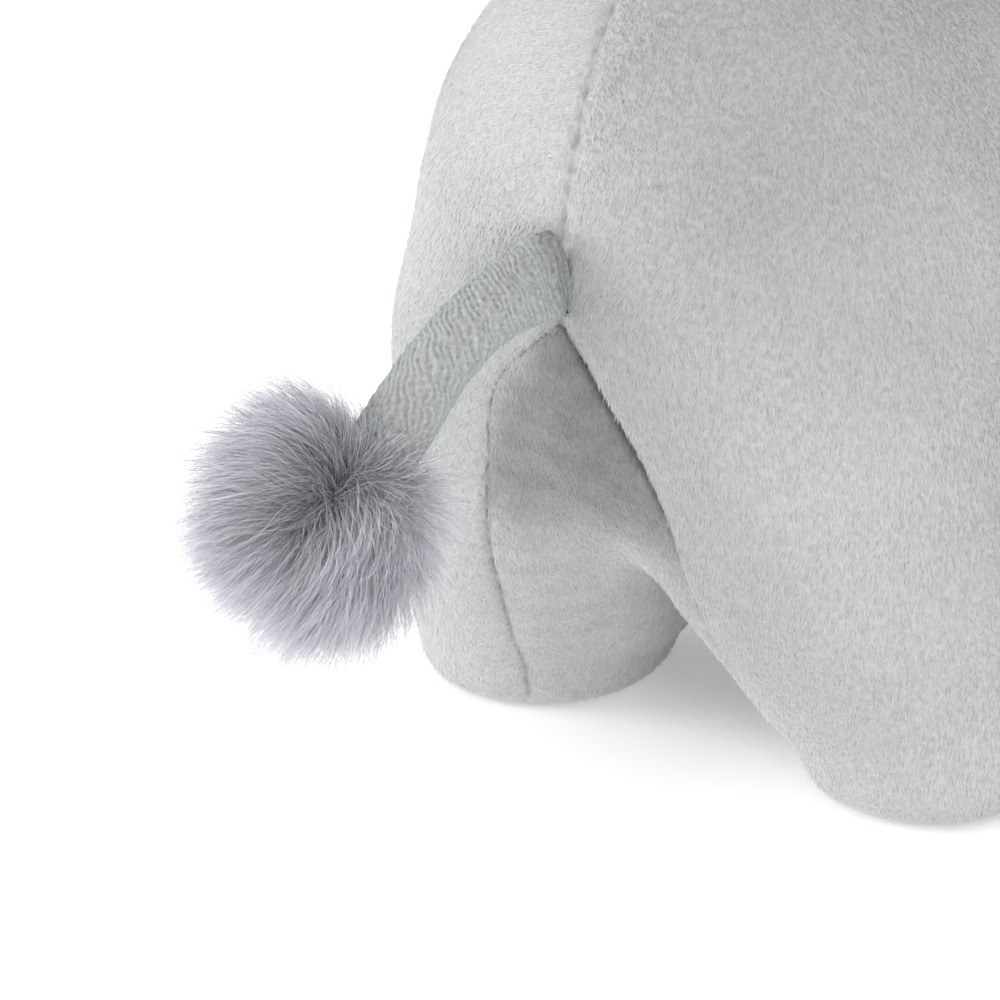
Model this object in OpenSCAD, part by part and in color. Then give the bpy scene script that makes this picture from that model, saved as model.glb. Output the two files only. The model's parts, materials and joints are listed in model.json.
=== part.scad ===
// Stuffed elephant that stands on four feet, with a tufted tail.
// Millimetres. The animal faces -Y, its left side is +X, and it stands on Z = 0.

/* [Body] */
// Half width of the rump
rump_half_width = 64; // [61:1:68]
// Half length of the rump's own ellipsoid
rump_half_length = 52; // [48:1:56]
// Half height of the rump's own ellipsoid
rump_half_height = 73; // [68:1:76]
// Height of the middle of the rump
rump_centre_z = 112; // [108:1:116]
// How far behind the origin the rump reaches
rump_back_y = 93; // [90:1:96]
// Half width of the chest
chest_half_width = 56; // [52:1:60]
// Thickness of the plush cover with its pile
cover_t = 2; // [1.5:0.1:2.5]

/* [Legs] */
// Half width of a hind foot
hind_foot_rx = 27; // [24:1:29]
// Half length of a hind foot
hind_foot_ry = 30; // [26:1:32]
// Distance of a hind foot's centre from the middle plane
hind_foot_x = 49; // [46:1:51]
// Place of the hind feet along the animal
hind_foot_y = 27; // [24:1:30]
// Half width of a fore foot
fore_foot_rx = 26; // [23:1:28]
// Half length of a fore foot
fore_foot_ry = 27; // [24:1:28]
// Distance of a fore foot's centre from the middle plane
fore_foot_x = 45; // [43:1:48]
// Place of the fore feet along the animal
fore_foot_y = -47; // [-50:1:-44]
// Thickness of a sole
sole_t = 2; // [1.5:0.5:3]

/* [Head] */
// Half width of the head
head_half_width = 55; // [52:1:58]
// Half length of the head
head_half_length = 51; // [48:1:54]
// Half height of the head
head_half_height = 52; // [49:1:55]
// Half width of the strip over the forehead
forehead_half = 13; // [10:1:16]
// Radius of an eye bead
eye_r = 5; // [4:0.5:6]

/* [Ears] */
// Width of an ear from its seam to its rim
ear_width = 62; // [54:1:68]
// Height of an ear
ear_height = 84; // [74:1:90]
// Thickness of a finished ear
ear_t = 7; // [6.5:0.5:8]
// Angle that an ear stands off the side of the head
ear_angle = 52; // [46:1:58]

/* [Trunk] */
// Radius of the ball at the top of the trunk
trunk_ball_r = 22; // [20:1:23]
// Radius of the trunk below that ball
trunk_r = 18.5; // [17:0.5:19]
// Radius of the ball where the trunk curls
curl_ball_r = 15; // [14:0.5:15.5]
// Radius of the trunk at its end
trunk_end_r = 11.5; // [10:0.5:12.5]

/* [Tail] */
// Radius of the tail tube
tail_r = 6.9; // [6.2:0.1:7.2]
// Length of the upper half of the tail
tail_upper_len = 19; // [17:1:22]
// Length of the lower half of the tail, to the middle of the tuft
tail_lower_len = 45; // [42:1:48]
// Radius of the fur tuft
tuft_r = 24; // [20:1:25]
// Height of the tail's root
tail_root_z = 116; // [112:1:120]
// Angle by which the tail hangs to the left
tail_yaw = 30; // [20:1:40]

/* [Hidden] */

smooth = 18;
gap = 0.3;
joint_gap = 0.4;
big = 400;
plush = "#c3cac7";
plush_shade = "#a9b2ae";
fibre = "#f1efe9";
fur = "#9a9cab";
bead = "#1c1a1a";

// Ellipsoids are [x, y, z, half width, half length, half height].
rump = [0, rump_back_y - rump_half_length, rump_centre_z,
        rump_half_width, rump_half_length, rump_half_height];
flank = [0, 4, 108, 62, 46, 68];
chest = [0, -36, 107, chest_half_width, 44, 66];
withers = [0, -46, 124, 48, 36, 54];
head = [0, -78, 150, head_half_width, head_half_length, head_half_height];
brow = [0, -84, 158, 48, 46, 46];
cheek = [0, -86, 138, 47, 45, 40];

// The trunk bends about these two points, and ends at the third and fourth.
trunk_root = [0, -122, 132];
trunk_curl = [0, -143, 97];
trunk_low = [0, -146, 68];
trunk_end = [0, -153, 50];
trunk_dir = (trunk_curl - trunk_root) / norm(trunk_curl - trunk_root);
trunk_pitch = atan2(-trunk_dir.z, -trunk_dir.y);
trunk_up_max = 35;
trunk_down_max = 12;
curl_rim_back = 10;

// The tail turns about its root, which stands just proud of the rump.
tail_root = [0, rump_back_y + 3, tail_root_z];
tail_pitch_upper = 30;
tail_pitch_lower = 46;
tail_ball_r = tail_r + 0.5;
tail_bend_r = tail_r - 1;
tail_ball_gap = 1.1;
tab_r = 8;
tab_t = 1.6;
tab_depth = 6.8;
knot_r = 2.6;
cover_thin = 1.2;
tuft_core_r = 11;

// Each ear turns about a straight line along the side of the head.
ear_top = [49, -70, 182];
ear_foot = [57, -66, 134];
ear_axis = (ear_top - ear_foot) / norm(ear_top - ear_foot);
ear_root_r = ear_t / 2;
ear_skin = 1.8;
ear_back_max = 20;
ear_forward_max = 50;
ear_root_from = -22;
ear_root_len = 42;
// Turn about the seam that lays the ear's own +X at ear_angle from the head's side.
ear_zero = 90 - ear_angle - atan2(ear_axis.y, ear_axis.x);

// Direction out of the head at an eye, and the eye's place on the head's surface.
eye_dir = [0.46, -0.87, 0.12];
eye_seat = [head[0], head[1], head[2]]
    + [eye_dir.x * (head_half_width + 1), eye_dir.y * (head_half_length + 1),
       eye_dir.z * head_half_height + 5];
eye_stem_len = 12;
eye_stem_r = 1.8;
washer_r = 7;
washer_t = 1.5;
washer_depth = 7;

// The strip over the forehead ends at this height.
strip_foot_z = 120;

// A foot is rounded between its widest height and its sole.
foot_wide_z = 9;
foot_wide_h = 3;
foot_round = 4;
bag_margin = 8;

// Seam between the side panels and the gusset, seen along the animal.
gusset_outline = [[0, 107], [20, 84], [39, 0], [-39, 0], [-20, 84]];

module ellipsoid(e, inset = 0) {
    translate([e[0], e[1], e[2]])
        scale([e[3] - inset, e[4] - inset, e[5] - inset])
            sphere(r = 1, $fn = smooth);
}

module chain(forms, inset = 0) {
    for (i = [0 : len(forms) - 2])
        hull() {
            ellipsoid(forms[i], inset);
            ellipsoid(forms[i + 1], inset);
        }
}

module torso_form(inset = 0) {
    chain([rump, flank, chest, withers], inset);
}

module foot_disc(x, y, rx, ry, z, h) {
    translate([x, y, z])
        scale([rx, ry, 1])
            cylinder(r = 1, h = h, $fn = 2 * smooth);
}

// A leg as ellipsoids down its middle line, wide where it meets the body.
module leg_form(side, hind, inset = 0) {
    rx = hind ? hind_foot_rx : fore_foot_rx;
    ry = hind ? hind_foot_ry : fore_foot_ry;
    fx = hind ? hind_foot_x : fore_foot_x;
    fy = hind ? hind_foot_y : fore_foot_y;
    wide = hind ? 6 : 0;
    back = hind ? 1 : 0.3;
    hip = [side * (fx - 22), fy + 16 * back, 88, 34 + wide, 36 + wide, 44];
    thigh = [side * (fx - 18), fy + 13 * back, 64, 34 + wide, 35 + wide, 34];
    knee = [side * (fx - 13), fy + 9.5 * back, 48, 32 + wide, 33 + wide, 26];
    shin = [side * (fx - 7), fy + 5 * back, 28, 30 + wide / 2, 31 + wide / 2, 20];
    chain([hip, thigh, knee, shin], inset);
    hull() {
        ellipsoid(shin, inset);
        foot_disc(side * fx, fy, rx - inset, ry - inset, foot_wide_z, foot_wide_h);
        foot_disc(side * fx, fy, rx - foot_round - inset, ry - foot_round - inset,
                  sole_t + gap + inset / 2, 1);
    }
}

module all_legs(inset = 0) {
    for (side = [-1, 1])
        for (hind = [false, true])
            leg_form(side, hind, inset);
}

// Openings at the bottom of the legs, which the soles close.
module sole_openings() {
    edge = foot_round + cover_t;
    for (side = [-1, 1]) {
        foot_disc(side * hind_foot_x, hind_foot_y, hind_foot_rx - edge, hind_foot_ry - edge,
                  0, foot_wide_z);
        foot_disc(side * fore_foot_x, fore_foot_y, fore_foot_rx - edge, fore_foot_ry - edge,
                  0, foot_wide_z);
    }
}

module tail_clearance() {
    translate(tail_root)
        sphere(r = tail_ball_r + tail_ball_gap, $fn = 32);
}

// Disc inside the rump that the tail's thread is tied to.
module tail_tab_form(extra = 0) {
    translate([0, rump_back_y - tab_depth - extra, tail_root_z])
        rotate([-90, 0, 0])
            cylinder(r = tab_r + extra, h = tab_t + 2 * extra, $fn = 32);
}

module body_skin() {
    difference() {
        union() {
            torso_form();
            all_legs();
        }
        torso_form(cover_t);
        all_legs(cover_t);
        ellipsoid(head, 10);
        tail_clearance();
        sole_openings();
        translate([0, 0, -big / 2 + sole_t + gap])
            cube(big, center = true);
    }
}

module gusset_prism(inset) {
    rotate([90, 0, 0])
        linear_extrude(big, center = true)
            offset(delta = -inset)
                polygon(gusset_outline);
}

module body_panel(side) {
    color(plush)
        difference() {
            body_skin();
            gusset_prism(-gap / 2);
            translate([side * (gap / 2 - big / 2), 0, 0])
                cube([big, 2 * big, 2 * big], center = true);
        }
}
module body_panel_left() { body_panel(1); }
module body_panel_right() { body_panel(-1); }

module belly_gusset() {
    color(plush_shade)
        intersection() {
            body_skin();
            gusset_prism(gap / 2);
        }
}

module body_stuffing() {
    color(fibre)
        difference() {
            chain([rump, flank, flank, chest, chest, withers, withers, chest, flank],
                  cover_t + gap);
            tail_clearance();
            tail_tab_form(gap);
        }
}

module bag_form(side, hind, extra = 0) {
    x = side * (hind ? hind_foot_x : fore_foot_x);
    y = hind ? hind_foot_y : fore_foot_y;
    r = (hind ? hind_foot_rx : fore_foot_rx) - bag_margin + extra;
    hull() {
        translate([x, y, sole_t + 2 * gap - extra])
            cylinder(r = r - 3, h = 1, $fn = smooth);
        translate([x, y, 7])
            cylinder(r = r, h = 4, $fn = smooth);
        translate([x, y, 15 + extra])
            cylinder(r = r - 4, h = 1, $fn = smooth);
    }
}

module leg_stuffing(side, hind) {
    color(fibre)
        difference() {
            leg_form(side, hind, cover_t + gap);
            torso_form(cover_t);
            bag_form(side, hind, 2 * gap);
        }
}
module leg_stuffing_hind_left() { leg_stuffing(1, true); }
module leg_stuffing_hind_right() { leg_stuffing(-1, true); }
module leg_stuffing_fore_left() { leg_stuffing(1, false); }
module leg_stuffing_fore_right() { leg_stuffing(-1, false); }

module pellet_bag(side, hind) { color("#d8d4c8") bag_form(side, hind); }
module pellet_bag_hind_left() { pellet_bag(1, true); }
module pellet_bag_hind_right() { pellet_bag(-1, true); }
module pellet_bag_fore_left() { pellet_bag(1, false); }
module pellet_bag_fore_right() { pellet_bag(-1, false); }

module sole(side, hind) {
    x = side * (hind ? hind_foot_x : fore_foot_x);
    y = hind ? hind_foot_y : fore_foot_y;
    rx = (hind ? hind_foot_rx : fore_foot_rx) - foot_round;
    ry = (hind ? hind_foot_ry : fore_foot_ry) - foot_round;
    color(plush_shade)
        translate([x, y, 0])
            linear_extrude(sole_t)
                polygon([for (a = [0 : 10 : 350]) [rx * cos(a), ry * sin(a)]]);
}
module sole_hind_left() { sole(1, true); }
module sole_hind_right() { sole(-1, true); }
module sole_fore_left() { sole(1, false); }
module sole_fore_right() { sole(-1, false); }

module head_form(inset = 0) {
    chain([head, brow, cheek, head], inset);
}

// Space that the trunk needs over its whole travel.
module trunk_sweep() {
    hull()
        for (a = [-trunk_down_max, trunk_up_max])
            translate(trunk_root)
                rotate([-a, 0, 0])
                    translate(-trunk_root) {
                        translate(trunk_root)
                            sphere(r = trunk_ball_r + joint_gap, $fn = 32);
                        translate(trunk_root + trunk_dir * 24)
                            sphere(r = trunk_r + 1, $fn = 24);
                    }
}

// Space that an ear's root needs over its whole travel.
module ear_sweep(side) {
    hull()
        for (a = [-ear_back_max - 4, ear_forward_max + 4])
            ear_place(side, a)
                translate([0, 0, -26])
                    linear_extrude(54)
                        hull() {
                            circle(r = ear_root_r + 1, $fn = 24);
                            translate([13, 0])
                                circle(r = ear_root_r + 1, $fn = 24);
                        }
}

module eye_hole(side, r) {
    eye_place(side)
        translate([0, 0, -eye_stem_len - 3])
            cylinder(r = r, h = eye_stem_len + 20, $fn = 24);
}

module head_cuts() {
    trunk_sweep();
    ear_sweep(1);
    ear_sweep(-1);
    eye_hole(1, eye_stem_r + gap);
    eye_hole(-1, eye_stem_r + gap);
}

module head_skin() {
    difference() {
        head_form();
        head_form(cover_t);
        torso_form(-gap);
        head_cuts();
    }
}

module forehead_strip(half) {
    translate([0, -big / 2, big / 2 + strip_foot_z])
        cube([2 * half, 2 * big, big], center = true);
}

module head_panel(side) {
    color(plush)
        difference() {
            head_skin();
            forehead_strip(forehead_half + gap / 2);
            translate([side * (gap / 2 - big / 2), 0, 0])
                cube([big, 2 * big, 2 * big], center = true);
        }
}
module head_panel_left() { head_panel(1); }
module head_panel_right() { head_panel(-1); }

module head_gusset() {
    color(plush)
        intersection() {
            head_skin();
            forehead_strip(forehead_half - gap / 2);
        }
}

module head_stuffing() {
    color(fibre)
        difference() {
            head_form(cover_t + gap);
            torso_form(-gap);
            head_cuts();
            for (side = [-1, 1])
                eye_place(side)
                    translate([0, 0, -eye_stem_len])
                        cylinder(r = washer_r + gap, h = eye_stem_len + 20, $fn = 24);
        }
}

// Puts its children at an eye's seat, with +Z out of the head.
module eye_place(side) {
    translate([side * eye_seat.x, eye_seat.y, eye_seat.z])
        rotate([0, acos(eye_dir.z / norm(eye_dir)), atan2(eye_dir.y, side * eye_dir.x)])
            children();
}

module eye(side) {
    color(bead)
        eye_place(side) {
            difference() {
                translate([0, 0, 1.2])
                    sphere(r = eye_r, $fn = 48);
                translate([0, 0, -eye_r])
                    cube([4 * eye_r, 4 * eye_r, 2 * eye_r], center = true);
            }
            translate([0, 0, -eye_stem_len])
                cylinder(r = eye_stem_r, h = eye_stem_len + 1, $fn = 32);
        }
}
module eye_left() { eye(1); }
module eye_right() { eye(-1); }

module eye_washer(side) {
    color("white")
        eye_place(side)
            translate([0, 0, -washer_depth])
                difference() {
                    cylinder(r = washer_r, h = washer_t, $fn = 48);
                    translate([0, 0, -washer_t / 2])
                        cylinder(r = eye_stem_r + 0.1, h = 2 * washer_t, $fn = 32);
                }
}
module eye_washer_left() { eye_washer(1); }
module eye_washer_right() { eye_washer(-1); }

module trunk_base_form(inset = 0) {
    translate(trunk_root)
        sphere(r = trunk_ball_r - inset, $fn = 32);
    hull() {
        translate(trunk_root + trunk_dir * 6)
            sphere(r = trunk_r - inset, $fn = 24);
        translate(trunk_curl)
            sphere(r = trunk_r - 1.4 - inset, $fn = 24);
    }
}

// Everything past the rim of the upper trunk, with the hollow that the curl ball turns in.
module trunk_base_end() {
    translate(trunk_curl)
        sphere(r = curl_ball_r + joint_gap, $fn = 48);
    translate(trunk_curl - trunk_dir * curl_rim_back)
        rotate([trunk_pitch - 90, 0, 0])
            translate([0, 0, -big / 2])
                cube(big, center = true);
}

module trunk_base_cover() {
    color(plush)
        difference() {
            trunk_base_form();
            trunk_base_form(cover_t);
            trunk_base_end();
        }
}

module trunk_base_stuffing() {
    color(fibre)
        difference() {
            trunk_base_form(cover_t + gap);
            trunk_base_end();
        }
}

module trunk_tip_form(inset = 0) {
    hull() {
        translate(trunk_curl)
            sphere(r = curl_ball_r - inset, $fn = smooth);
        translate(trunk_low)
            sphere(r = trunk_end_r + 1 - inset, $fn = smooth);
    }
    hull() {
        translate(trunk_low)
            sphere(r = trunk_end_r + 1 - inset, $fn = smooth);
        translate(trunk_end)
            sphere(r = trunk_end_r - inset, $fn = smooth);
    }
}

module trunk_tip_cover() {
    color(plush)
        difference() {
            trunk_tip_form();
            trunk_tip_form(cover_t);
        }
}

module trunk_tip_stuffing() { color(fibre) trunk_tip_form(cover_t + gap); }

// Puts its children in an ear's own frame: +Z along the seam, +X out to the rim.
module ear_place(side, turn = 0) {
    middle = (ear_top + ear_foot) / 2;
    lean = acos(ear_axis.z);
    mirror([side < 0 ? 1 : 0, 0, 0])
        translate(middle)
            rotate([0, lean, atan2(ear_axis.y, ear_axis.x)])
                rotate([0, 0, ear_zero - turn])
                    children();
}

module ear_outline(inset = 0) {
    difference() {
        translate([ear_width / 2 - 1, -4])
            polygon([for (a = [0 : 10 : 350])
                let (wave = 1 + 0.05 * cos(2 * a - 60))
                [(ear_width / 2 - inset) * cos(a) * wave, (ear_height / 2 - inset) * sin(a) * wave]]);
        translate([-big + 3 + inset, 0])
            square(2 * big, center = true);
    }
}

// A flat layer of the ear between two depths through its thickness.
module ear_layer(from, to, inset = 0) {
    translate([0, from, 0])
        rotate([90, 0, 0])
            mirror([0, 0, 1])
                linear_extrude(to - from)
                    ear_outline(inset);
}

module ear_back(side) {
    color(plush)
        ear_place(side) {
            difference() {
                ear_layer(-ear_t / 2 + ear_skin + gap, ear_t / 2);
                ear_layer(-ear_t / 2, ear_t / 2 - ear_skin, 3);
            }
            translate([0, 0, ear_root_from])
                difference() {
                    cylinder(r = ear_root_r, h = ear_root_len, $fn = 32);
                    translate([-ear_t, -2 * ear_t + 0.5, -1])
                        cube([2 * ear_t, 2 * ear_t, ear_root_len + 2]);
                }
        }
}
module ear_back_left() { ear_back(1); }
module ear_back_right() { ear_back(-1); }

module ear_front(side) {
    color(plush_shade)
        ear_place(side)
            ear_layer(-ear_t / 2, -ear_t / 2 + ear_skin);
}
module ear_front_left() { ear_front(1); }
module ear_front_right() { ear_front(-1); }

module ear_wadding(side) {
    color(fibre)
        ear_place(side)
            ear_layer(-ear_t / 2 + ear_skin + gap, ear_t / 2 - ear_skin - gap, 3 + gap);
}
module ear_wadding_left() { ear_wadding(1); }
module ear_wadding_right() { ear_wadding(-1); }

// Puts its children at the tail's root, with +Z along the upper tail.
module tail_upper_place() {
    translate(tail_root)
        rotate([0, 0, -tail_yaw])
            rotate([-90 - tail_pitch_upper, 0, 0])
                children();
}

// Puts its children at the bend of the tail, with +Z along the lower tail.
module tail_lower_place() {
    tail_upper_place()
        translate([0, 0, tail_upper_len])
            rotate([tail_pitch_upper - tail_pitch_lower, 0, 0])
                children();
}

module tail_tab() { color(plush) tail_tab_form(); }

module tail_knot() {
    color("white")
        translate(tail_root)
            sphere(r = knot_r, $fn = 32);
}

module tail_upper_solid(inset = 0) {
    sphere(r = tail_ball_r - inset, $fn = 32);
    cylinder(r = tail_r - inset, h = tail_upper_len - 2.2, $fn = 32);
}

// The hollow at the end of the upper tail that the lower tail's ball turns in.
module tail_bend_hollow() {
    translate([0, 0, tail_upper_len])
        sphere(r = tail_bend_r + joint_gap, $fn = 32);
}

module tail_upper_cover() {
    color(plush)
        tail_upper_place()
            difference() {
                tail_upper_solid();
                tail_upper_solid(cover_thin);
                tail_bend_hollow();
            }
}

module tail_upper_filling() {
    color(fibre)
        tail_upper_place()
            difference() {
                tail_upper_solid(cover_thin + gap / 2);
                sphere(r = knot_r + joint_gap, $fn = 32);
                tail_bend_hollow();
            }
}

module tail_lower_solid(inset = 0) {
    sphere(r = tail_bend_r - inset, $fn = 32);
    cylinder(r = tail_bend_r - inset, h = 6, $fn = 32);
    translate([0, 0, 5])
        cylinder(r = tail_r - 0.4 - inset, h = tail_lower_len - tuft_core_r - 5, $fn = 32);
}

module tail_lower_cover() {
    color(plush)
        tail_lower_place()
            difference() {
                tail_lower_solid();
                tail_lower_solid(cover_thin);
                tuft_ball(tuft_core_r + gap);
            }
}

module tail_lower_filling() {
    color(fibre)
        tail_lower_place()
            difference() {
                tail_lower_solid(cover_thin + gap / 2);
                tuft_ball(tuft_core_r + gap);
            }
}

module tuft_ball(r) {
    translate([0, 0, tail_lower_len])
        sphere(r = r, $fn = 48);
}

module tuft_core() {
    color(fibre)
        tail_lower_place()
            tuft_ball(tuft_core_r);
}

module tail_tuft() {
    color(fur)
        tail_lower_place()
            difference() {
                tuft_ball(tuft_r);
                tuft_ball(tuft_core_r + gap / 2);
                cylinder(r = tail_r, h = tail_lower_len, $fn = 32);
            }
}

body_panel_left();
body_panel_right();
belly_gusset();
body_stuffing();
leg_stuffing_hind_left();
leg_stuffing_hind_right();
leg_stuffing_fore_left();
leg_stuffing_fore_right();
pellet_bag_hind_left();
pellet_bag_hind_right();
pellet_bag_fore_left();
pellet_bag_fore_right();
sole_hind_left();
sole_hind_right();
sole_fore_left();
sole_fore_right();
head_panel_left();
head_panel_right();
head_gusset();
head_stuffing();
eye_left();
eye_right();
eye_washer_left();
eye_washer_right();
trunk_base_cover();
trunk_base_stuffing();
trunk_tip_cover();
trunk_tip_stuffing();
ear_back_left();
ear_back_right();
ear_front_left();
ear_front_right();
ear_wadding_left();
ear_wadding_right();
tail_tab();
tail_knot();
tail_upper_cover();
tail_upper_filling();
tail_lower_cover();
tail_lower_filling();
tuft_core();
tail_tuft();
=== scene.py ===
"""Stuffed elephant: a plush skin cut into its sewn panels, with short pile, jointed trunk, ears
and tail, and a long-haired tuft. Forms are worked in millimetres and written out in metres."""
import bpy
import json
import math
import numpy as np
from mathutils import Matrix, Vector


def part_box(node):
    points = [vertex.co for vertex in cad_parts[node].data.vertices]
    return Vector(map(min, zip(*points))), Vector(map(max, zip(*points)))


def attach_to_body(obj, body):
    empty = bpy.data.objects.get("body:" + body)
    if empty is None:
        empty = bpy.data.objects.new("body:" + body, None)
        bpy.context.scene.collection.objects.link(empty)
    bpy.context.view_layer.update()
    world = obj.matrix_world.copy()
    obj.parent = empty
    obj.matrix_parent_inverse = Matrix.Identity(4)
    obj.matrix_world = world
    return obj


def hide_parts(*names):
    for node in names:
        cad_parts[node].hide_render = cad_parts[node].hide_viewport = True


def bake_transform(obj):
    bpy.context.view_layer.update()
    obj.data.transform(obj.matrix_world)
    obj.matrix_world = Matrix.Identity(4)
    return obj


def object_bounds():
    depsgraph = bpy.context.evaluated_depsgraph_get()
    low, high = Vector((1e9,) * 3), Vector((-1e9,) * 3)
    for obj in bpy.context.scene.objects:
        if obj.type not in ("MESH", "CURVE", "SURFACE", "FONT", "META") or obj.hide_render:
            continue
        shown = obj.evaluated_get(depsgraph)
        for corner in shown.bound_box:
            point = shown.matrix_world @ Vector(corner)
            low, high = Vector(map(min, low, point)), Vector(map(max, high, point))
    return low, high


MM = 0.001
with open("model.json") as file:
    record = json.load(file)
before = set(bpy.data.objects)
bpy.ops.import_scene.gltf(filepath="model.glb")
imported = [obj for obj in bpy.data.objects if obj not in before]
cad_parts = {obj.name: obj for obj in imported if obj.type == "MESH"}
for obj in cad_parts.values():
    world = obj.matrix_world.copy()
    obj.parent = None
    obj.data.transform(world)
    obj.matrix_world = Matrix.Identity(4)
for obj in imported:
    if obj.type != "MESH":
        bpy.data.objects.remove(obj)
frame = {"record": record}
cad_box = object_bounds()
joints = {j["name"]: j for j in frame["record"]["behaviour"]["joints"]}
rng = np.random.default_rng(7)


def joint_at(name):
    return np.array(joints[name]["pos_m"], float) / MM


def joint_axis(name):
    axis = np.array(joints[name]["axis"], float)
    return axis / np.linalg.norm(axis)


def node_box(name):
    lo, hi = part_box(name)
    return np.array(lo, float) / MM, np.array(hi, float) / MM


def unit(v):
    return v / np.maximum(np.linalg.norm(v, axis=-1, keepdims=True), 1e-9)


# ---------------------------------------------------------------- places taken from the frame
TAIL_ROOT = joint_at("tail_swing")
TAIL_BEND = joint_at("tail_bend")
TRUNK_ROOT = joint_at("trunk_lift")
TRUNK_CURL = joint_at("trunk_curl")
EAR_AT = joint_at("ear_left_fold")
EAR_UP = joint_axis("ear_left_fold") * np.sign(joint_axis("ear_left_fold")[2])
RUMP_AT = TAIL_ROOT + np.array([0, -3, 0])
TUFT_LO, TUFT_HI = node_box("tail_tuft")
TUFT_AT = (TUFT_LO + TUFT_HI) / 2
TUFT_R = (TUFT_HI - TUFT_LO)[2] / 2


# ---------------------------------------------------------------- camera and light
CAM_AZIMUTH = math.radians(217)
CAM_ELEVATION = math.radians(21)
CAM_DISTANCE = 740
VIEW_WIDTH = 190
SENSOR = 36
AIM_RIGHT = -10.3
AIM_UP = -42.8


def add_camera():
    level = math.cos(CAM_ELEVATION)
    back = Vector((math.sin(CAM_AZIMUTH) * level, -math.cos(CAM_AZIMUTH) * level,
                   math.sin(CAM_ELEVATION)))
    right = Vector((0, 0, 1)).cross(back).normalized()
    up = back.cross(right)
    aim = Vector(RUMP_AT) + right * AIM_RIGHT + up * AIM_UP
    data = bpy.data.cameras.new("camera")
    data.sensor_width = SENSOR
    data.lens = SENSOR * CAM_DISTANCE / VIEW_WIDTH
    data.clip_start = 0.01
    data.clip_end = 20
    cam = bpy.data.objects.new("camera", data)
    cam.location = (aim + back * CAM_DISTANCE) * MM
    cam.rotation_euler = (-back).to_track_quat("-Z", "Y").to_euler()
    bpy.context.scene.collection.objects.link(cam)
    bpy.context.scene.camera = cam


SKY_TOP = (0.72, 0.72, 0.72)
SKY_STRENGTH = 1.14
FLOOR_SIZE = 12
FLOOR_GLOW = 0.2
LIGHT_AIM = Vector((0, 0, 0.09))
# Name, place and width in metres, and power in watts of each disk light.
LIGHTS = [
    ("key_light", (1.5, 1.2, 0.4), 1.2, 35),
    ("fill_light", (-1.2, 1.1, 0.1), 1.2, 25),
    ("front_light", (0.3, -1.6, 0.9), 1.3, 14),
]


def put(node, **values):
    """Sets inputs of a shader node. Their names have underscores here in place of spaces."""
    for name, value in values.items():
        node.inputs[name.replace("_", " ")].default_value = value


def add_area(name, place, size, power):
    data = bpy.data.lights.new(name, "AREA")
    data.shape = "DISK"
    data.size = size
    data.energy = power
    light = bpy.data.objects.new(name, data)
    light.location = place
    light.rotation_euler = (LIGHT_AIM - Vector(place)).to_track_quat("-Z", "Y").to_euler()
    bpy.context.scene.collection.objects.link(light)


def add_studio():
    scene = bpy.context.scene
    scene.view_settings.view_transform = "Standard"
    scene.world = bpy.data.worlds.new("studio")
    scene.world.use_nodes = True
    tree = scene.world.node_tree
    sky = tree.nodes["Background"]
    put(sky, Strength=SKY_STRENGTH)
    coord = tree.nodes.new("ShaderNodeTexCoord")
    split = tree.nodes.new("ShaderNodeSeparateXYZ")
    tree.links.new(coord.outputs["Generated"], split.inputs["Vector"])
    shades = ramp_node(tree, split.outputs["Z"], [(0.15, (1, 1, 1)), (1.0, SKY_TOP)])
    tree.links.new(shades, sky.inputs["Color"])
    for light in LIGHTS:
        add_area(*light)
    bpy.ops.mesh.primitive_plane_add(size=FLOOR_SIZE, location=(0, 0, 0))
    floor = bpy.context.object
    floor.name = "floor"
    mat = bpy.data.materials.new("floor")
    mat.use_nodes = True
    shader = mat.node_tree.nodes["Principled BSDF"]
    put(shader, Base_Color=(0.95, 0.95, 0.95, 1), Roughness=0.9, Emission_Color=(1, 1, 1, 1),
        Emission_Strength=FLOOR_GLOW)
    floor.data.materials.append(mat)


# ---------------------------------------------------------------- forms
def form(x, y, z, rx, ry, rz):
    return np.array([x, y, z], float), np.array([rx, ry, rz], float)


def ellipsoid(p, solid):
    """Signed distance, near enough, to an ellipsoid given as (centre, half sizes)."""
    centre, half = solid
    q = (p - centre) / half
    k0 = np.sqrt((q * q).sum(-1))
    q /= half
    k1 = np.sqrt((q * q).sum(-1))
    return k0 * (k0 - 1) / np.maximum(k1, 1e-9)


def smooth_min(a, b, k):
    h = np.clip(0.5 + 0.5 * (b - a) / k, 0, 1)
    return b + (a - b) * h - k * h * (1 - h)


def smooth_max(a, b, k):
    return -smooth_min(-a, -b, k)


def chain(p, forms, steps, k):
    """A run of ellipsoids, with others between each two, melted into one form."""
    total = ellipsoid(p, forms[0])
    for (c0, r0), (c1, r1) in zip(forms, forms[1:]):
        for i in range(1, steps + 1):
            t = i / steps
            total = smooth_min(total, ellipsoid(p, (c0 + (c1 - c0) * t, r0 + (r1 - r0) * t)), k)
    return total


def rod(p, a, b, ra, rb):
    """Signed distance to a round rod whose radius runs from ra to rb."""
    ab = b - a
    t = np.clip(((p - a) @ ab) / (ab @ ab), 0, 1)
    q = p - a - t[..., None] * ab
    return np.sqrt((q * q).sum(-1)) - (ra + (rb - ra) * t)


TORSO = [
    form(0, 41, 112, 63.7, 51.7, 72.7),
    form(0, 4, 108, 61.7, 46, 67.7),
    form(0, -36, 107, 55.7, 44, 65.7),
    form(0, -46, 124, 48, 36, 54),
]
HEAD = [
    form(0, -78, 150, 54.7, 50.7, 51.7),
    form(0, -84, 158, 48, 46, 46),
    form(0, -86, 138, 47, 45, 40),
]
FOOT_TOP = 22
FOOT_EDGE = 8
FOOT_PAST_SOLE = 4
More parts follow.
